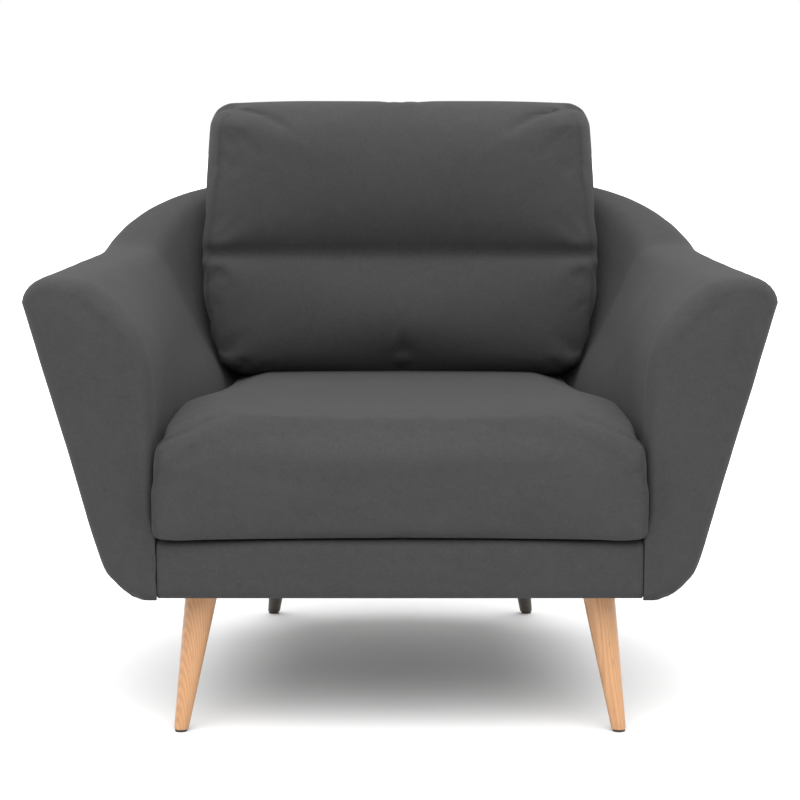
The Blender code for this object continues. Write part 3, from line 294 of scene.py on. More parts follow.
for cut in range(1, 8):
    bpy.ops.mesh.select_all(action="SELECT")
    bpy.ops.mesh.bisect(plane_co=(0, 0, LEG_BOTTOM + length * cut / 8), plane_no=(0, 0, 1))
bpy.ops.object.mode_set(mode="OBJECT")
bpy.ops.object.shade_smooth_by_angle(angle=math.radians(40))
oiled_beech = wood("oiled_beech", OILED_BEECH, (1, 1, 0.055), 0.0052, 0.36, coat=0.18)
# The rear legs' finish carries painted shade: beech grain in near-black tones.
painted_shade_beech = wood("painted_shade_beech", PAINTED_SHADE_BEECH, (1, 1, 0.055), 0.0052, 0.36, coat=0.18)
for corner, (centre, splay) in LEG_PLACES.items():
    leg = bpy.data.objects.new(f"turned_leg_{corner}", turned_leg.data.copy())
    bpy.context.scene.collection.objects.link(leg)
    for vertex in leg.data.vertices:
        down = (LEG_TOP - vertex.co.z) / LEG_TOP
        vertex.co.x += centre[0] + splay[0] * down
        vertex.co.y += centre[1] + splay[1] * down
    leg.data.materials.append(painted_shade_beech if corner.startswith("rear") else oiled_beech)
    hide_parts(f"leg_{corner}")
    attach(leg, "frame")
bpy.data.objects.remove(turned_leg)

nylon, tree, shader = new_finish("brown_nylon")
place = node(tree, "ShaderNodeTexCoord").outputs["Object"]
cloud = noisy(tree, place, 300.0, 3.0)
tone = mixed(tree, cloud, (0.020, 0.016, 0.013, 1), (0.034, 0.027, 0.022, 1))
tree.links.new(tone, shader.inputs["Base Color"])
tree.links.new(sums(tree, "MULTIPLY_ADD", cloud, 0.3, 0.35), shader.inputs["Roughness"])
bumped(tree, shader, cloud, 0.2, 0.0001)
finished([f"glide_{corner}" for corner in corners], nylon)

# Seat deck and dust cover: grey needled felt stretched over the springs and stapled to the rails, and a
# thin black spunbond cloth stapled under them.
DECK_LOW, DECK_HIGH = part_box("seat_deck")
DUST_LOW, DUST_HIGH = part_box("dust_cover")
FRONT_Y = -0.420
CORNER_Y = 0.120
SEAT_LEVEL = (0.336, 0.280, 0.280)  # half width in front, half width at the corner, and its rear


def tub_line(level, u, outward=0.0):
    """A point of a line round the tub: 0 at an arm's front, 1 at the corner, 2 behind, 4 at the other arm."""
    if u > 2:
        x, y = tub_line(level, 4 - u, outward)
        return -x, y
    front, rear, back = level
    if u <= 1:
        taper = max(0.0, (u - 0.06) / 0.94)
        x, y = front + (rear - front) * taper, FRONT_Y + (CORNER_Y - FRONT_Y) * u
        square = CORNER_Y - FRONT_Y, front - rear
    else:
        turn = (u - 1) * math.pi / 2
        reach = back - CORNER_Y
        x, y = rear * math.cos(turn), CORNER_Y + reach * math.sin(turn)
        square = reach * math.cos(turn), rear * math.sin(turn)
    scale = outward / math.hypot(*square)
    return x + square[0] * scale, y + square[1] * scale


def link_mesh(name, points, faces, corner_uvs, finish):
    """A smooth mesh with its own UV map, in metres of cloth."""
    mesh = bpy.data.meshes.new(name)
    mesh.from_pydata([tuple(p) for p in points], [], faces)
    layer = mesh.uv_layers.new(name="UVMap")
    layer.data.foreach_set("uv", np.asarray(corner_uvs, np.float32).ravel())
    mesh.materials.append(finish)
    mesh.polygons.foreach_set("use_smooth", [True] * len(mesh.polygons))
    mesh.update()
    obj = bpy.data.objects.new(name, mesh)
    bpy.context.scene.collection.objects.link(obj)
    return obj


def thicken(obj, thickness):
    """Gives a sheet its thickness, inward from its outer face."""
    solid = obj.modifiers.new("cloth", "SOLIDIFY")
    solid.thickness = thickness
    solid.offset = -1
    apply_all(obj)


def seat_sheet(name, outward, front, top, thickness, sag, finish):
    """A sheet to the seat's outline, in rings about its middle."""
    stops = [i / 24 for i in range(97)]
    rim = [tub_line(SEAT_LEVEL, u, outward) for u in stops]
    rim = [(x, max(y, front)) for x, y in rim]
    across = [(rim[-1][0] + (rim[0][0] - rim[-1][0]) * i / 60, front) for i in range(1, 60)]
    rim += across
    rings = 34
    middle = (0.0, -0.07)
    points, faces, uvs = [], [], []
    for ring in range(rings + 1):
        share = 1 - ring / rings
        for x, y in rim if ring < rings else [middle]:
            spot = (middle[0] + (x - middle[0]) * share, middle[1] + (y - middle[1]) * share)
            points.append((*spot, top - sag(spot, share)))
    count = len(rim)
    for ring in range(rings):
        for i in range(count):
            after = (i + 1) % count
            a, b = ring * count + i, ring * count + after
            if ring == rings - 1:
                faces.append((a, b, rings * count))
            else:
                faces.append((a, b, b + count, a + count))
    for face in faces:
        uvs += [points[i][:2] for i in face]
    obj = link_mesh(name, points, faces, uvs, finish)
    if obj.data.polygons[0].normal.z < 0:
        obj.data.flip_normals()
    thicken(obj, thickness)
    return obj


felt, tree, shader = new_finish("grey_needled_felt")
place = node(tree, "ShaderNodeTexCoord").outputs["Object"]
fibres = noisy(tree, place, 420.0, 6.0, Distortion=1.2)
tufts = node(tree, "ShaderNodeTexVoronoi", {"Vector": place, "Scale": 300.0})
clouds = noisy(tree, place, 22.0, 3.0)
share = sums(tree, "MULTIPLY", clouds, 0.35)
share = sums(tree, "MULTIPLY_ADD", fibres, 0.7, share)
tone = mixed(tree, share, (0.085, 0.085, 0.083, 1), (0.33, 0.33, 0.32, 1))
tree.links.new(tone, shader.inputs["Base Color"])
shader.inputs["Roughness"].default_value = 0.95
shader.inputs["Sheen Weight"].default_value = 0.2
bumped(tree, shader, sums(tree, "ADD", fibres, tufts.outputs["Distance"]), 0.5, 0.0006)


def over_springs(spot, share):
    """The felt dips a little between the springs and is pulled flat at its edge."""
    between = 0.5 - 0.5 * math.cos(2 * math.pi * spot[0] / 0.1)
    return 0.0009 * between * min(1.0, (1 - share) * 6) * (0.6 + 0.4 * noise.noise(Vector((*spot, 0)) * 20))


deck = seat_sheet("seat_deck_felt", -0.0030, DECK_LOW.y + 0.0004, DECK_HIGH.z, 0.0052, over_springs, felt)
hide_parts("seat_deck")
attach(deck, "frame")

spunbond, tree, shader = new_finish("black_spunbond")
place = node(tree, "ShaderNodeTexCoord").outputs["Object"]
points_grid = node(tree, "ShaderNodeTexVoronoi", {"Vector": place, "Scale": 700.0, "Randomness": 0.25})
threads = noisy(tree, place, 500.0, 5.0, Distortion=2.0)
tone = mixed(tree, threads, (0.008, 0.008, 0.008, 1), (0.030, 0.030, 0.031, 1))
tree.links.new(tone, shader.inputs["Base Color"])
shader.inputs["Roughness"].default_value = 0.8
bumped(tree, shader, sums(tree, "ADD", points_grid.outputs["Distance"], threads), 0.4, 0.0002)


def slack_below(spot, share):
    """The dust cover hangs a little between its staples."""
    return 0.0012 * math.sin(math.pi * min(1.0, (1 - share) * 1.4) / 2) + 0.0002 * math.sin(spot[0] * 160)


dust = seat_sheet("dust_cover_cloth", 0.0165, DUST_LOW.y + 0.0005, DUST_HIGH.z, 0.0006, slack_below, spunbond)
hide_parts("dust_cover")
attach(dust, "frame")

# Arms and back: sewn covers of charcoal mélange cloth pulled over wadding and foam. One cover goes round
# each arm from its front to the seam behind the corner, and one over the back between the two seams.
RIDGE_LEVEL = (0.493, 0.460, 0.424)
RIDGE_IN_LEVEL = (0.409, 0.376, 0.336)
FOOT_LEVEL = (0.401, 0.368, 0.374)
ARM_HEIGHT, ARM_RISE, BACK_HEIGHT = 0.639, 0.006, 0.758
BODY_BOTTOM = 0.195
DECK_TOP = 0.2703
SIDE_SWELL = 0.022
FRONT_ROUND = 0.020
WALL_FOOT, WALL_TOP = 0.42, 0.017
SEAM_U = 1 + 50 / 90
CHARCOAL = ((0.022, 0.022, 0.0222), (0.048, 0.048, 0.0483))
YARN = 0.0011

cloth_group, take, give = new_group(
    "melange_weave",
    [
        ("Cloth UV", "NodeSocketVector", None),
        ("Place", "NodeSocketVector", None),
        ("Dark Yarn", "NodeSocketColor", None),
        ("Light Yarn", "NodeSocketColor", None),
        ("Seam", "NodeSocketFloat", 0.0),
    ],
    [("Color", "NodeSocketColor"), ("Roughness", "NodeSocketFloat"), ("Height", "NodeSocketFloat")],
)
tree = cloth_group
count = node(tree, "ShaderNodeVectorMath", {0: take["Cloth UV"], 3: 1 / YARN}, operation="SCALE")
parts = node(tree, "ShaderNodeSeparateXYZ", {"Vector": count.outputs[0]})
warp_cell, weft_cell = (sums(tree, "FLOOR", parts.outputs[axis]) for axis in ("X", "Y"))
warp_in, weft_in = (sums(tree, "FRACT", parts.outputs[axis]) for axis in ("X", "Y"))
over = sums(tree, "MODULO", sums(tree, "ADD", warp_cell, weft_cell), 2.0)
over = sums(tree, "ABSOLUTE", over)
warp_round = sums(tree, "SINE", sums(tree, "MULTIPLY", warp_in, math.pi))
weft_round = sums(tree, "SINE", sums(tree, "MULTIPLY", weft_in, math.pi))
warp_high = sums(tree, "MULTIPLY", warp_round, sums(tree, "MULTIPLY_ADD", weft_round, 0.6, 0.4))
weft_high = sums(tree, "MULTIPLY", weft_round, sums(tree, "MULTIPLY_ADD", warp_round, 0.6, 0.4))
under = sums(tree, "SUBTRACT", 1.0, over)
yarn_height_and_hollow_shade = sums(tree, "MULTIPLY", over, warp_high)
yarn_height_and_hollow_shade = sums(tree, "ADD", yarn_height_and_hollow_shade, sums(tree, "MULTIPLY", under, weft_high))
along_warp = sums(tree, "MULTIPLY", parts.outputs["Y"], 0.09)
along_weft = sums(tree, "MULTIPLY", parts.outputs["X"], 0.09)
warp_id = node(tree, "ShaderNodeCombineXYZ", {"X": warp_cell, "Y": along_warp})
weft_id = node(tree, "ShaderNodeCombineXYZ", {"X": along_weft, "Y": weft_cell, "Z": 7.0})
warp_tone = noisy(tree, warp_id.outputs[0], 1.7, 1.0)
weft_tone = noisy(tree, weft_id.outputs[0], 1.7, 1.0)
yarn_tone = sums(tree, "MULTIPLY", over, warp_tone)
yarn_tone = sums(tree, "ADD", yarn_tone, sums(tree, "MULTIPLY", under, weft_tone))
yarn_tone = ramp(tree, yarn_tone, (0.30, 0.0), (0.70, 1.0))
fuzz = noisy(tree, take["Place"], 1400.0, 3.0)
nap = noisy(tree, take["Place"], 60.0, 4.0, Roughness=0.6)
cloudy = noisy(tree, take["Place"], 9.0, 3.0)
# Yarn crowns are lighter than the hollows between them: painted shade in the weave. It comes from the same
# yarn height that drives the bump.
share = sums(tree, "MULTIPLY_ADD", yarn_tone, 0.34, sums(tree, "MULTIPLY", yarn_height_and_hollow_shade, 0.16))
share = sums(tree, "ADD", share, sums(tree, "MULTIPLY", nap, 0.30))
share = sums(tree, "ADD", share, sums(tree, "MULTIPLY", cloudy, 0.24))
# Cloth near seams and the back cushion's crease is darkened here: painted shade in their hollows. The same
# mask drives the puckers.
share = sums(tree, "SUBTRACT", share, sums(tree, "MULTIPLY", take["Seam"], 0.25))
tone = mixed(tree, share, take["Dark Yarn"], take["Light Yarn"])
tree.links.new(tone, give["Color"])
rough = sums(tree, "MULTIPLY_ADD", fuzz, 0.14, 0.80)
tree.links.new(rough, give["Roughness"])
height = sums(tree, "MULTIPLY_ADD", fuzz, 0.35, yarn_height_and_hollow_shade)
height = sums(tree, "ADD", height, sums(tree, "MULTIPLY", nap, 0.8))
pucker = noisy(tree, take["Place"], 120.0, 1.0)
pucker = sums(tree, "MULTIPLY", sums(tree, "MULTIPLY", pucker, take["Seam"]), 6.0)
tree.links.new(sums(tree, "ADD", height, pucker), give["Height"])

charcoal, tree, shader = new_finish("charcoal_melange")
coords = node(tree, "ShaderNodeTexCoord").outputs
weave = node(tree, "ShaderNodeGroup", node_tree=cloth_group)
tree.links.new(coords["UV"], weave.inputs["Cloth UV"])
tree.links.new(coords["Object"], weave.inputs["Place"])
weave.inputs["Dark Yarn"].default_value = (*CHARCOAL[0], 1)
weave.inputs["Light Yarn"].default_value = (*CHARCOAL[1], 1)
tree.links.new(node(tree, "ShaderNodeAttribute", attribute_name="seam").outputs["Fac"], weave.inputs["Seam"])
tree.links.new(weave.outputs["Color"], shader.inputs["Base Color"])
tree.links.new(weave.outputs["Roughness"], shader.inputs["Roughness"])
shader.inputs["Sheen Weight"].default_value = 0.04
shader.inputs["Sheen Roughness"].default_value = 0.5
shader.inputs["Specular IOR Level"].default_value = 0.12
bumped(tree, shader, weave.outputs["Height"], 0.45, 0.0003)


def soft_start(share):
    """0 below zero and the share itself above it, with a soft bend between."""
    return (share + math.hypot(share, 0.06)) / 2


def ridge_height(u):
    """The top of the padding: level along the arm, then swept up round the corner to the back."""
    share = max(-0.6, (u - 1.05) / 0.95)
    climb = (soft_start(share) - soft_start(-0.6)) / (soft_start(1) - soft_start(-0.6))
    rise = (BACK_HEIGHT - ARM_HEIGHT - ARM_RISE) * (1 - (1 - climb) ** 2.4)
    return ARM_HEIGHT + ARM_RISE * min(u, 1) + rise


def wall_lean(u, height):
    """How far the inner wall has leaned out at a height: 0 at the seat, 1 at the ridge."""
    share = max(0.0, (height - WALL_FOOT) / (ridge_height(u) - WALL_TOP - WALL_FOOT))
    if share > 1:
        return 1 + 4 * (share - 1)
    upright = share**4
    return upright + (share - upright) * min(1.0, max(0.0, u - 0.1) / 0.9)


def padding_section(u, floor):
    """The padding's outline at u, from the inner foot over the ridge to the outer foot.

    Its points lie in even steps below the inner wall's lean, up to the crest, and down the outer side.
    """
    u_side = min(u, 4 - u)
    ridge, ridge_in, foot, foot_in = (
        np.array(tub_line(level, u_side)) for level in (RIDGE_LEVEL, RIDGE_IN_LEVEL, FOOT_LEVEL, SEAT_LEVEL)
    )
    swell = np.array(tub_line(RIDGE_LEVEL, u_side, SIDE_SWELL))
    shoulder = np.array(tub_line(RIDGE_LEVEL, u_side, SIDE_SWELL * 0.68))
    top = ridge_height(u_side)
    wall = top - WALL_TOP
    under = 0.58 - 0.24 * min(1.0, max(0.0, u_side - 0.7) / 0.5)
    bottom = BODY_BOTTOM
    keys = [(*foot_in, floor)]
    for share in (0.0, 0.45, 0.70, 0.90):
        z = WALL_FOOT + (wall - WALL_FOOT) * share
        keys.append((*(foot_in + (ridge_in - foot_in) * wall_lean(u_side, z)), z))
    keys.append((*(ridge_in + (ridge - ridge_in) * 0.14), wall + 0.009))
    keys.append((*(ridge_in + (ridge - ridge_in) * 0.50), top))
    crest = len(keys) - 1
    keys.append((*ridge, top - 0.002))
    keys.append((*swell, top - 0.026))
    keys.append((*shoulder, top - 0.062))
    keys.append((*(shoulder + (foot - shoulder) * 0.50), (top - 0.062 + bottom) / 2))
    keys.append((*(shoulder + (foot - shoulder) * 0.86), bottom + 0.14 * (top - 0.062 - bottom)))
    keys.append((*(foot + (foot_in - foot) * 0.05), bottom + 0.022))
    keys.append((*(foot + (foot_in - foot) * under * 0.62), bottom + 0.0042))
    keys.append((*(foot + (foot_in - foot) * under), bottom))
    keys = np.array(keys)
    ends = np.vstack([2 * keys[0] - keys[1], keys, 2 * keys[-1] - keys[-2]])
    steps = 14
    curve = []
    for i in range(len(keys) - 1):
        before, start, end, after = ends[i : i + 4]
        for step in range(steps):
            t = step / steps
            bend = (end - before) * (t - 2 * t * t + t**3) / 2 + (after - start) * (t**3 - t * t) / 2
            curve.append(start * (1 - 3 * t * t + 2 * t**3) + end * (3 * t * t - 2 * t**3) + bend)
    curve.append(keys[-1])
    curve = np.array(curve)
    pieces = (curve[: steps + 1], curve[steps : crest * steps + 1], curve[crest * steps :])
    points, runs = [], []
    for half, count in zip(pieces, (FOOT_STEPS, INNER_STEPS - FOOT_STEPS, OUTER_STEPS)):
        run = np.concatenate([[0], np.cumsum(np.linalg.norm(np.diff(half, axis=0), axis=1))])
        even = np.linspace(0, run[-1], count + 1)
        points.append(np.stack([np.interp(even, run, half[:, axis]) for axis in range(3)], axis=1))
        runs.append(even)
    points = np.vstack([points[0], points[1][1:], points[2][1:]])
    inner_run = runs[1] - runs[1][-1]
    runs = np.concatenate([runs[0] - runs[0][-1] + inner_run[0], inner_run[1:], runs[2][1:]])
    if u > 2:
        points[:, 0] *= -1
    return points, runs


FOOT_STEPS, INNER_STEPS, OUTER_STEPS = 22, 64, 64
STEP = 0.0085
ARM_LENGTH, CORNER_LENGTH = 0.54, 0.62
arm_end = (FRONT_ROUND + 0.0015) / ARM_LENGTH
seam_steps = int(ARM_LENGTH * (1 - arm_end) / STEP)
arm_stops = [arm_end + (1 - arm_end) * i / seam_steps for i in range(seam_steps)]
corner_steps = int((SEAM_U - 1) * CORNER_LENGTH / STEP)
arm_stops += [1 + (SEAM_U - 1) * i / corner_steps for i in range(corner_steps)]
arm_stops += [SEAM_U - 0.012, SEAM_U - 0.006, SEAM_U - 0.0018]


def rounded_front():
    """The arm's front end drawn in round its edge, from the flat face to the full section."""
    full, runs = padding_section(0.0, BODY_BOTTOM)
    ahead = np.vstack([full[1:], full[-1:]])
    behind = np.vstack([full[:1], full[:-1]])
    along = ahead - behind
    inward = np.stack([along[:, 2], along[:, 0] * 0, -along[:, 0]], axis=1)
    inward /= np.linalg.norm(inward, axis=1)[:, None]
    for end in (0, -1):
        inward[end] = (np.sign(inward[end][0]), 0, 0)
    loops = []
    place = np.arange(len(full)) / (len(full) - 1)
    crest = np.exp(-(((place - 0.415) / 0.085) ** 2))
    deep = FRONT_ROUND * (1.1 + 1.5 * crest)
    drawn = FRONT_ROUND * (0.8 + 0.6 * crest)
    beside_border = np.clip((0.315 - full[:, 2]) / 0.035, 0, 1) * (place < 0.5)
    deep = deep * (1 - beside_border) + 0.004 * beside_border
    drawn = drawn * (1 - beside_border) + 0.002 * beside_border
    for step in range(9, -1, -1):
        turn = step / 9 * math.pi / 2
        loop = full + inward * (drawn * (1 - math.cos(turn)))[:, None]
        loop[:, 1] = FRONT_Y + deep * (1 - math.sin(turn))
        loops.append((loop, runs))
    return loops, deep - FRONT_ROUND


def set_seams(obj, values):
    """Marks each vertex with how near a seam it lies, for puckers and painted shade in the cloth."""
    near = obj.data.attributes.new("seam", "FLOAT", "POINT")
    near.data.foreach_set("value", np.array(values, np.float32))


def soft(point, scale, size):
    """The slight unevenness of stuffing under cloth."""
    return noise.noise(Vector(point) * scale) * size


def padded_cover(name, side):
    """One cover as an even net of points: side 1 and -1 are the arms, 0 is the back."""
    if side:
        loops, set_back = rounded_front()
        for u in arm_stops:
            loop, runs = padding_section(u, DECK_TOP)
            behind = (loop[:, 1] - FRONT_Y - FRONT_ROUND) / 0.20
            loop[:, 1] += np.maximum(set_back, 0) * np.clip(1 - behind, 0, 1)
            loops.append((loop, runs))
    else:
        count = int((2 - SEAM_U) * CORNER_LENGTH / STEP) * 2
        stops = [SEAM_U + 0.0018, SEAM_U + 0.006, SEAM_U + 0.012]
        stops += [SEAM_U + (4 - 2 * SEAM_U) * i / count for i in range(1, count)]
        stops += [4 - SEAM_U - 0.012, 4 - SEAM_U - 0.006, 4 - SEAM_U - 0.0018]
        loops = [padding_section(u, DECK_TOP) for u in stops]
    net = np.array([loop[0] for loop in loops])
    rows, columns = net.shape[:2]
    along = np.zeros((rows, columns))
    along[1:] = np.cumsum(np.linalg.norm(np.diff(net, axis=0), axis=2), axis=0)
    even = along[:, columns // 2][:, None].repeat(columns, axis=1) * 0.5 + along * 0.5
    uv = np.stack([even, np.array([loop[1] for loop in loops])], axis=2)
    if side:
        from_seam = along[-1][None] - along
        face_edge = np.abs(along - along[1][None])
    else:
        from_seam = np.minimum(along, along[-1][None] - along)
        face_edge = np.full_like(along, 1.0)
    seam = np.exp(-((from_seam / 0.0045) ** 2))
    welt = np.exp(-((face_edge / 0.0040) ** 2))
    points = [tuple(p) for p in net.reshape(-1, 3)]
    flat_uv = [tuple(p) for p in uv.reshape(-1, 2)]
    faces, corner_uvs = [], []

    def add(*corners, flat=None):
        faces.append(corners)
        corner_uvs.extend(flat or [flat_uv[i] for i in corners])

    for i in range(rows - 1):
        for j in range(columns - 1):
            a = i * columns + j
            add(a, a + 1, a + columns + 1, a + columns)
    column = np.arange(columns)[None] / (columns - 1)
    welt = welt * np.exp(-(((column - 0.40) / 0.07) ** 2))
    pull = list((seam * 0.0042 + welt * 0.0004).reshape(-1))
    # This mask also darkens the cloth: painted shade along the seams behind the corners and along the arm's
    # front edge.
    seams = list(np.maximum(seam, welt * 0.4).reshape(-1))
    if side:
        last = columns - 1
        across = 14
        grid = {}
        for j in range(columns // 2 + 1):
            for k in range(across + 1):
                if k == 0 or j == columns // 2:
                    grid[j, k] = j
                elif k == across:
                    grid[j, k] = last - j
                else:
                    grid[j, k] = len(points)
                    t = k / across
                    spot = net[0, j] * (1 - t) + net[0, last - j] * t
                    rise = min(1.0, (spot[2] - BODY_BOTTOM) / 0.12, (columns // 2 - j) / 16)
                    puff = math.sin(math.pi * t) ** 2 * 0.007 * math.sin(math.pi / 2 * max(0.0, rise)) ** 2
                    points.append((spot[0], spot[1] - puff, spot[2]))
                    pull.append(0.0)
                    seams.append(0.0)
        for j in range(columns // 2):
            for k in range(across):
                ring = (grid[j, k], grid[j, k + 1], grid[j + 1, k + 1], grid[j + 1, k])
                corners = tuple(dict.fromkeys(ring))
                if len(corners) > 2:
                    flat = [(points[c][0], points[c][2]) for c in corners]
                    add(*corners, flat=flat)
    points = np.array(points)
    if side < 0:
        points[:, 0] *= -1
        order = []
        start = 0
        for f in faces:
            order += corner_uvs[start : start + len(f)][::-1]
            start += len(f)
        corner_uvs = order
        faces = [f[::-1] for f in faces]
    obj = link_mesh(name, points, faces, corner_uvs, charcoal)
    normals = np.zeros(len(points) * 3)
    obj.data.vertex_normals.foreach_get("vector", normals)
    normals = normals.reshape(-1, 3)
    for index, (point, normal) in enumerate(zip(points, normals)):
        shift = soft(point, 7, 0.0016) + soft(point, 24, 0.0005) - 0.0006 - pull[index]
        at_foot = index < rows * columns and index % columns < 3
        beside_deck = at_foot and point[2] < DECK_TOP + 0.004 and normal[2] > -0.3
        if point[2] < BODY_BOTTOM + 0.004 or beside_deck:
            shift = 0
        obj.data.vertices[index].co = point + normal * shift
    set_seams(obj, seams)
    thicken(obj, 0.002)
    return obj


for word, side in (("left_arm", -1), ("back", 0), ("right_arm", 1)):
    cover = padded_cover(f"{word}_padding", side)
    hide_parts(f"{word}_cover", f"{word}_foam")
    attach(cover, "frame")

# Front border: a strip of the same cloth over wadding on the front rail, closed-stitched to both arms.
# Its ends dip into the two seams.
BORDER_LOW, BORDER_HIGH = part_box("front_border_cover")
outline = [
    (BORDER_HIGH.y, BORDER_HIGH.z),
    (FRONT_Y + 0.012, BORDER_HIGH.z),
    (FRONT_Y + 0.006, BORDER_HIGH.z - 0.0018),
    (FRONT_Y + 0.002, BORDER_HIGH.z - 0.0060),
    (FRONT_Y, BORDER_HIGH.z - 0.0130),
    (FRONT_Y - 0.001, (BORDER_LOW.z + BORDER_HIGH.z) / 2),
    (FRONT_Y, BORDER_LOW.z + 0.0120),
    (FRONT_Y + 0.0025, BORDER_LOW.z + 0.0050),
    (FRONT_Y + 0.0075, BORDER_LOW.z + 0.0012),
    (FRONT_Y + 0.0140, BORDER_LOW.z),
]
lengths = np.concatenate([[0], np.cumsum(np.linalg.norm(np.diff(outline, axis=0), axis=1))])
stops = np.linspace(0, lengths[-1], 30)
profile = np.stack([np.interp(stops, lengths, [p[axis] for p in outline]) for axis in (0, 1)], axis=1)
half = BORDER_HIGH.x - 0.0002
ends = [half * (1 - d / half) for d in (0, 0.0015, 0.003, 0.005, 0.008)]
across = [-x for x in ends] + list(np.linspace(-half + 0.016, half - 0.016, 70)) + ends[::-1]
points, faces, uvs, seams = [], [], [], []
for x in across:
    near = math.exp(-(((half - abs(x)) / 0.0035) ** 2))
    for (y, z), run in zip(profile, stops):
        forward = max(0.0, 1 - (y - FRONT_Y) / 0.012)
        bulge = soft((x, 0, z), 9, 0.0010) * forward - near * 0.0012 * forward
        points.append((x, y - bulge, z))
        # Near both end seams the cloth is darkened as painted shade.
        seams.append(near)
for i in range(len(across) - 1):
    for j in range(len(profile) - 1):
        a = i * len(profile) + j
        ring = (a, a + 1, a + len(profile) + 1, a + len(profile))
        faces.append(ring)
        uvs += [(points[c][0], stops[c % len(profile)]) for c in ring]
border = link_mesh("front_border_padding", points, faces, uvs, charcoal)
if border.data.polygons[len(faces) // 2].normal.y > 0:
    border.data.flip_normals()
set_seams(border, seams)
thicken(border, 0.002)
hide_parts("front_border_cover", "front_pad")
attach(border, "frame")

# Seat cushion: a loose foam cushion wrapped in wadding. One panel of cloth runs over its top and rolls
# down its front, and a boxing strip goes round each side. A zip closes its rear border.
SEAT_LOW, SEAT_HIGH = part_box("seat_cushion_cover")
SEAT_BLOCK = (0.336, 0.331, 0.076)  # half width, half depth and half height
SEAT_CROWN, SIDE_CROWN = 0.006, 0.021  # how far its top stands up in the middle and beside the arms
FRONT_SPREAD = 0.014  # how far it spreads in front of the arms
FRONT_HANG = 0.006  # how far it hangs over the front border
NET_STEP = 0.0095
CUSHION_GAP = 0.0025
SWELL_START = 0.004


def fit_in_tub(point, gap):
    """Keeps a cushion's point off the inner wall of the tub."""
    x, y, z = abs(point[0]), point[1], point[2]
    if y <= CORNER_Y:
        u = max(0.0, (y - FRONT_Y) / (CORNER_Y - FRONT_Y))
        foot, ridge = tub_line(SEAT_LEVEL, u)[0], tub_line(RIDGE_IN_LEVEL, u)[0]
        x = min(x, foot + (ridge - foot) * wall_lean(u, z) - gap)
    else:
        turn = math.atan2((y - CORNER_Y) / (SEAT_LEVEL[2] - CORNER_Y), x / SEAT_LEVEL[1])
        lean = wall_lean(1 + turn * 2 / math.pi, z)
        across = SEAT_LEVEL[1] + (RIDGE_IN_LEVEL[1] - SEAT_LEVEL[1]) * lean - gap
        deep = SEAT_LEVEL[2] + (RIDGE_IN_LEVEL[2] - SEAT_LEVEL[2]) * lean - gap - CORNER_Y
        reach = math.hypot(x / across, (y - CORNER_Y) / deep)
        if reach > 1:
            x /= reach
            y = CORNER_Y + (y - CORNER_Y) / reach
    return math.copysign(x, point[0]), y, z


def grid_lines(half, radius, step):
    """Even steps over a block's flat length, and even turns round its rounded ends."""
    flat = 1 - radius / half
    turns = max(3, round(radius * 1.5 / step))
    near = [flat + radius / half * math.tan(math.pi / 4 * i / turns) for i in range(turns + 1)]
    count = max(1, round(2 * flat * half / step))
    even = [flat * (2 * i / count - 1) for i in range(1, count)]
    return [-v for v in near[::-1]] + even + near


def cushion_net(name, lines, shape, seam_axis):
    """A closed cushion on a net over a block's six faces. Returns it and each point's three net counts."""
    index, spots, faces, uvs = {}, [], [], []
    for axis in range(3):
        one, two = [a for a in range(3) if a != axis]
        for end in (0, len(lines[axis]) - 1):
            for i in range(len(lines[one]) - 1):
                for j in range(len(lines[two]) - 1):
                    ring = []
                    for di, dj in ((0, 0), (1, 0), (1, 1), (0, 1)):
                        key = [0, 0, 0]
                        key[axis], key[one], key[two] = end, i + di, j + dj
                        key = tuple(key)
                        if key not in index:
                            index[key] = len(spots)
                            spots.append(shape(*(line[n] for line, n in zip(lines, key))))
                        ring.append(index[key])
                    if (end > 0) == (axis == 1):
                        ring = ring[::-1]
                    faces.append(tuple(ring))
                    uvs += [(spots[c][one] + axis * 0.37, spots[c][two] + axis * 0.23) for c in ring]
    obj = link_mesh(name, spots, faces, uvs, charcoal)
    ends = (0, len(lines[seam_axis]) - 1)
    others = [a for a in range(3) if a != seam_axis]
    rims = {a: (0, len(lines[a]) - 1) for a in others}
    on_end = {key: c for key, c in index.items() if key[seam_axis] in ends}
    seam = [c for key, c in on_end.items() if any(key[a] in rims[a] for a in others)]
    return obj, index, seam


def stuffed(obj, held, cap, pressure=4.0, frames=20):
    """Blows the sewn cover up against its cloth, holds its seams, and caps how far it swells."""
    rest = np.array([v.co for v in obj.data.vertices])
    group = obj.vertex_groups.new(name="held")
    for index, weight in held.items():
        group.add([index], weight, "REPLACE")
    cloth = obj.modifiers.new("stuffing", "CLOTH")
    setting = cloth.settings
    setting.quality = 5
    setting.mass = 0.25
    setting.tension_stiffness = setting.compression_stiffness = 12
    setting.shear_stiffness = 6
    setting.bending_stiffness = 0.6
    setting.use_pressure = True
    setting.uniform_pressure_force = pressure
    setting.vertex_group_mass = "held"
    setting.pin_stiffness = 1.0
    setting.effector_weights.gravity = 0
    cloth.point_cache.frame_start = 1
    cloth.point_cache.frame_end = frames
    for step in range(1, frames + 1):
        bpy.context.scene.frame_set(step)
    bpy.context.view_layer.update()
    graph = bpy.context.evaluated_depsgraph_get()
    swollen = np.array([v.co for v in obj.evaluated_get(graph).data.vertices])
    obj.modifiers.remove(cloth)
    obj.vertex_groups.clear()
    bpy.context.scene.frame_set(1)
    move = swollen - rest
    far = np.linalg.norm(move, axis=1)[:, None]
    return rest + move * np.minimum(1.0, cap / np.maximum(far, 1e-9))


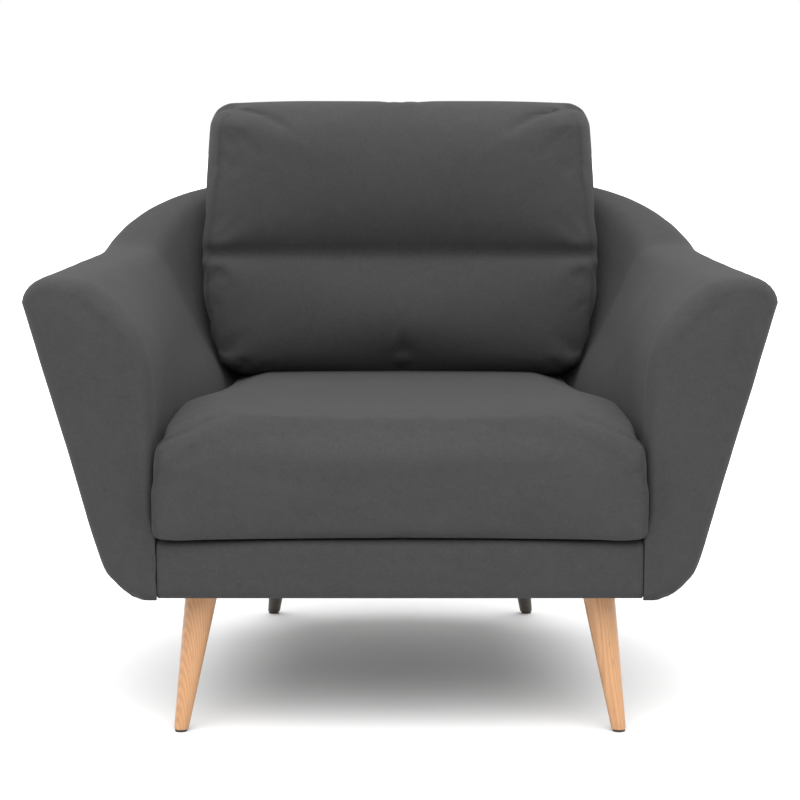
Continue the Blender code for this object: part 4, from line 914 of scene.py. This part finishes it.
def mark_seams(obj, seam, width):
    """An attribute that is 1 on the seam line and falls to 0 beside it."""
    tree = kdtree.KDTree(len(seam))
    for n, c in enumerate(seam):
        tree.insert(obj.data.vertices[c].co, n)
    tree.balance()
    set_seams(obj, [math.exp(-((tree.find(v.co)[2] / width) ** 2)) for v in obj.data.vertices])


def round_pair(a, b, half_a, half_b, radius_a, radius_b):
    """Two coordinates of a point, moved in to a rounded corner between two faces."""
    core_a = max(radius_a - half_a, min(half_a - radius_a, a))
    core_b = max(radius_b - half_b, min(half_b - radius_b, b))
    away_a, away_b = (a - core_a) / radius_a, (b - core_b) / radius_b
    reach = max(1.0, math.hypot(away_a, away_b))
    return core_a + away_a / reach * radius_a, core_b + away_b / reach * radius_b


def rolled_half(along, half, radius, half_across, radius_across):
    """Half the width of a section with rounded corners, at a distance along it."""
    past = min(1.0, max(0.0, (abs(along) - half + radius) / radius))
    return half_across - radius_across * (1 - math.sqrt(1 - past * past))


def seat_point(x, y, z):
    """The seat cushion's start shape: x, y and z run from -1 to 1 over its block."""
    wide, long, tall = SEAT_BLOCK
    roll, turn = (0.066, 0.052) if z > 0 else (0.022, 0.016)
    if y > 0:
        roll = 0.026
    py, pz = round_pair(y * long, z * tall, long, tall, roll, turn)
    high = rolled_half(py, long, roll, tall, turn)
    side = 0.012 + (0.018 if z > 0 else 0.004) * min(1.0, max(0.0, (-py - 0.14) / 0.16))
    px, pz = round_pair(x * wide, pz, wide, high, side, side)
    deep = rolled_half(pz, tall, turn, long, roll)
    px, py = round_pair(px, py, wide, deep, side, side)
    pz += SEAT_CROWN * (1 - x**4) * (1 - y**4) * max(0, z)
    pz += SIDE_CROWN * x * x * math.exp(-(((y + 0.45) / 0.62) ** 2)) * max(0, z)
    back = SEAT_LOW.y + py + long
    u = max(0.0, (back - FRONT_Y) / (CORNER_Y - FRONT_Y))
    wall = tub_line(SEAT_LEVEL, min(u, 1.0))[0] - CUSHION_GAP
    before = min(FRONT_ROUND, max(0.0, FRONT_Y + FRONT_ROUND - 0.001 - back))
    lip = (FRONT_ROUND - math.sqrt(FRONT_ROUND**2 - before**2)) * FRONT_SPREAD / FRONT_ROUND
    spot = (px / wide * (wall + lip), back, SEAT_LOW.z + tall + pz)
    return fit_in_tub(spot, CUSHION_GAP) if back > FRONT_Y + FRONT_ROUND else spot


def inset(points, obj, depth):
    """Points moved in along their normals."""
    normals = np.zeros(len(points) * 3)
    obj.data.vertex_normals.foreach_get("vector", normals)
    return points - normals.reshape(-1, 3) * depth


def set_points(obj, points):
    """Moves a piece's vertices to new places."""
    obj.data.vertices.foreach_set("co", np.asarray(points, np.float32).ravel())
    obj.data.update()


lines = tuple(grid_lines(half, turn, NET_STEP) for half, turn in zip(SEAT_BLOCK, (0.022, 0.060, 0.045)))
seat, _, seat_seam = cushion_net("seat_cushion", lines, seat_point, 0)
full = np.array([v.co for v in seat.data.vertices])
start = inset(full, seat, SWELL_START)
set_points(seat, start)
held = {c: 0.45 for c in seat_seam}
grown = stuffed(seat, held, cap=0.013)
final = []
for x, y, z in grown:
    if y < FRONT_Y - 0.0005:
        z -= FRONT_HANG * min(1.0, (FRONT_Y - y) / 0.008) * max(0.0, 1 - (z - SEAT_LOW.z) / 0.05)
    else:
        z = max(z, SEAT_LOW.z)
    spot = (x, y, z)
    if y > FRONT_Y + 0.004:
        spot = fit_in_tub(spot, CUSHION_GAP)
    final.append((spot[0], min(spot[1], SEAT_HIGH.y), spot[2]))
set_points(seat, final)
# The side seams get the mask that darkens the cloth as painted shade.
mark_seams(seat, seat_seam, 0.006)
smooth = seat.modifiers.new("round", "SUBSURF")
smooth.levels = smooth.render_levels = 1
apply_all(seat)
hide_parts("seat_cushion_cover", "seat_cushion_foam")
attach(seat, "seat_cushion")

# Back cushion: two lobes of fibre in one cover, a lumbar roll under a head roll, with a sewn crease
# between them. It leans against the back and stands on the seat cushion.
BACK_LOW, BACK_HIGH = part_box("back_cushion_cover")
BACK_FOOT, BACK_TOP = BACK_LOW.z, BACK_HIGH.z
BACK_HALF, BACK_DEPTH, BACK_FRONT = 0.320, 0.168, 0.104
CREASE = 0.634
BACK_WIDTHS = (  # heights and half widths
    (BACK_FOOT, 0.290),
    (0.50, 0.315),
    (0.565, 0.327),
    (0.634, 0.329),
    (0.69, 0.322),
    (0.77, 0.316),
    (1.0, 0.314),
)
LOBE_BULGE, CREASE_DEPTH, BACK_LEAN = 0.012, 0.012, 0.15


def back_point(x, y, z):
    """The back cushion's start shape: x, y and z run from -1 to 1 over its block."""
    half = (BACK_HALF, BACK_DEPTH / 2, (BACK_TOP - BACK_FOOT) / 2)
    turn = 0.045 if z > 0 else 0.022
    px, pz = round_pair(x * half[0], z * half[2], half[0], half[2], turn * 0.9, turn)
    wide = rolled_half(pz, half[2], turn, half[0], turn * 0.9)
    upper = (z + 1) / 2
    front = (0.034 + 0.045 * upper, 0.036 + 0.055 * upper) if y < 0 else (0.030, 0.030)
    px, py = round_pair(px, y * half[1], wide, half[1], *front)
    deep = rolled_half(px, wide, front[0], half[1], front[1])
    edge = 0.030
    if y < 0:
        edge = 0.036 if z < 0 else 0.055
    py, pz = round_pair(py, pz, deep, half[2], min(deep, edge), 0.034 if z < 0 else 0.042)
    up = BACK_FOOT + half[2] + pz
    low = up < CREASE
    lobe = (up - BACK_FOOT) / (CREASE - BACK_FOOT) if low else (BACK_TOP - up) / (BACK_TOP - CREASE)
    bulge = math.sin(math.pi * max(0.0, min(1.0, lobe)) ** (0.9 if low else 1.2)) * (1 - x**4)
    drawn = math.exp(-(((up - CREASE) / 0.008) ** 2))
    if y < 0:
        py -= -y * (LOBE_BULGE * bulge - CREASE_DEPTH * drawn)
    wide = np.interp(up, *zip(*BACK_WIDTHS))
    px *= (wide - 0.004 * drawn) / BACK_HALF
    deep = BACK_FRONT + half[1] + py + BACK_LEAN * (up - BACK_FOOT)
    return fit_in_tub((px, deep, up), CUSHION_GAP)


half_height = (BACK_TOP - BACK_FOOT) / 2
crease_share = (CREASE - BACK_FOOT) / half_height - 1
tall = grid_lines(half_height, 0.042, NET_STEP)
nearest = min(range(len(tall)), key=lambda n: abs(tall[n] - crease_share))
shift = crease_share - tall[nearest]
tall = [v + shift * max(0.0, 1 - abs(v - tall[nearest]) / 0.4) for v in tall]
lines = (grid_lines(BACK_HALF, 0.040, NET_STEP), grid_lines(BACK_DEPTH / 2, 0.045, NET_STEP), tall)
back, back_index, back_seam = cushion_net("back_cushion", lines, back_point, 0)
full = np.array([v.co for v in back.data.vertices])
crease = [c for key, c in back_index.items() if key[2] == nearest and key[1] == 0]
start = inset(full, back, SWELL_START)
set_points(back, start)
held = {c: 0.4 for c in back_seam}
held.update({c: 1.0 for c in crease})
grown = stuffed(back, held, cap=0.014)
final = []
for x, y, z in grown:
    spot = fit_in_tub((x, y, max(z, BACK_LOW.z)), CUSHION_GAP)
    final.append(spot)
set_points(back, final)
# The crease and the side seams get the mask that darkens the cloth as painted shade.
mark_seams(back, crease + back_seam, 0.006)
smooth = back.modifiers.new("round", "SUBSURF")
smooth.levels = smooth.render_levels = 1
apply_all(back)
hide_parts("back_cushion_cover", "back_cushion_lower_fill", "back_cushion_upper_fill")
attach(back, "back_cushion")

# Zips: a black coil zip behind the seat cushion and one under the back cushion, each with a zinc slider
# and its pull. They let the covers come off.
zip_tape, tree, shader = new_finish("black_zip_tape")
place = node(tree, "ShaderNodeTexCoord").outputs["Object"]
ribs = node(tree, "ShaderNodeSeparateXYZ", {"Vector": place}).outputs["X"]
ribs = sums(tree, "MULTIPLY_ADD", sums(tree, "SINE", sums(tree, "MULTIPLY", ribs, 6.283 / 0.0012)), 0.5, 0.5)
lint = noisy(tree, place, 400.0, 3.0)
tone = mixed(tree, lint, (0.010, 0.010, 0.011, 1), (0.036, 0.036, 0.038, 1))
tree.links.new(tone, shader.inputs["Base Color"])
tree.links.new(sums(tree, "MULTIPLY_ADD", lint, 0.3, 0.5), shader.inputs["Roughness"])
bumped(tree, shader, ribs, 0.4, 0.0003)
finished(["seat_zip", "back_zip"], zip_tape)
finished(["seat_zip_slider", "back_zip_slider"], zinc)

# The room: a pale floor and a white surround, with one wide soft lamp like a bright sky, high up and a
# little before the chair.
bpy.ops.object.select_all(action="DESELECT")
bpy.ops.mesh.primitive_plane_add(size=60, location=(0, 0, 0))
floor = bpy.context.object
floor.name = "floor"
pale, tree, shader = new_finish("pale_floor")
place = node(tree, "ShaderNodeTexCoord").outputs["Object"]
specks = noisy(tree, place, 3.0, 2.0)
tone = mixed(tree, specks, (0.80, 0.80, 0.80, 1), (0.82, 0.82, 0.82, 1))
tree.links.new(tone, shader.inputs["Base Color"])
shader.inputs["Roughness"].default_value = 0.9
shader.inputs["Specular IOR Level"].default_value = 0.1
floor.data.materials.append(pale)

scene = bpy.context.scene
scene.view_settings.view_transform = "Standard"
world = bpy.data.worlds.new("white_room")
world.use_nodes = True
world.node_tree.nodes["Background"].inputs["Color"].default_value = (1, 1, 1, 1)
world.node_tree.nodes["Background"].inputs["Strength"].default_value = 1.0
scene.world = world
lamp = bpy.data.lights.new("high_lamp", "SUN")
lamp.energy = 4.8
lamp.angle = math.radians(90)
lamp_object = bpy.data.objects.new("high_lamp", lamp)
scene.collection.objects.link(lamp_object)
lamp_object.location = (0, -1, 4)
lamp_object.rotation_euler = (math.radians(18), 0, 0)

camera = bpy.data.cameras.new("camera")
camera.sensor_width = 36.0
camera.lens = 2235.7 / 800 * 36.0
camera_object = bpy.data.objects.new("camera", camera)
scene.collection.objects.link(camera_object)
camera_object.location = (0.0, -3.44, 0.888)
camera_object.rotation_euler = (math.radians(90 - 7.8), 0, 0)
scene.camera = camera_object
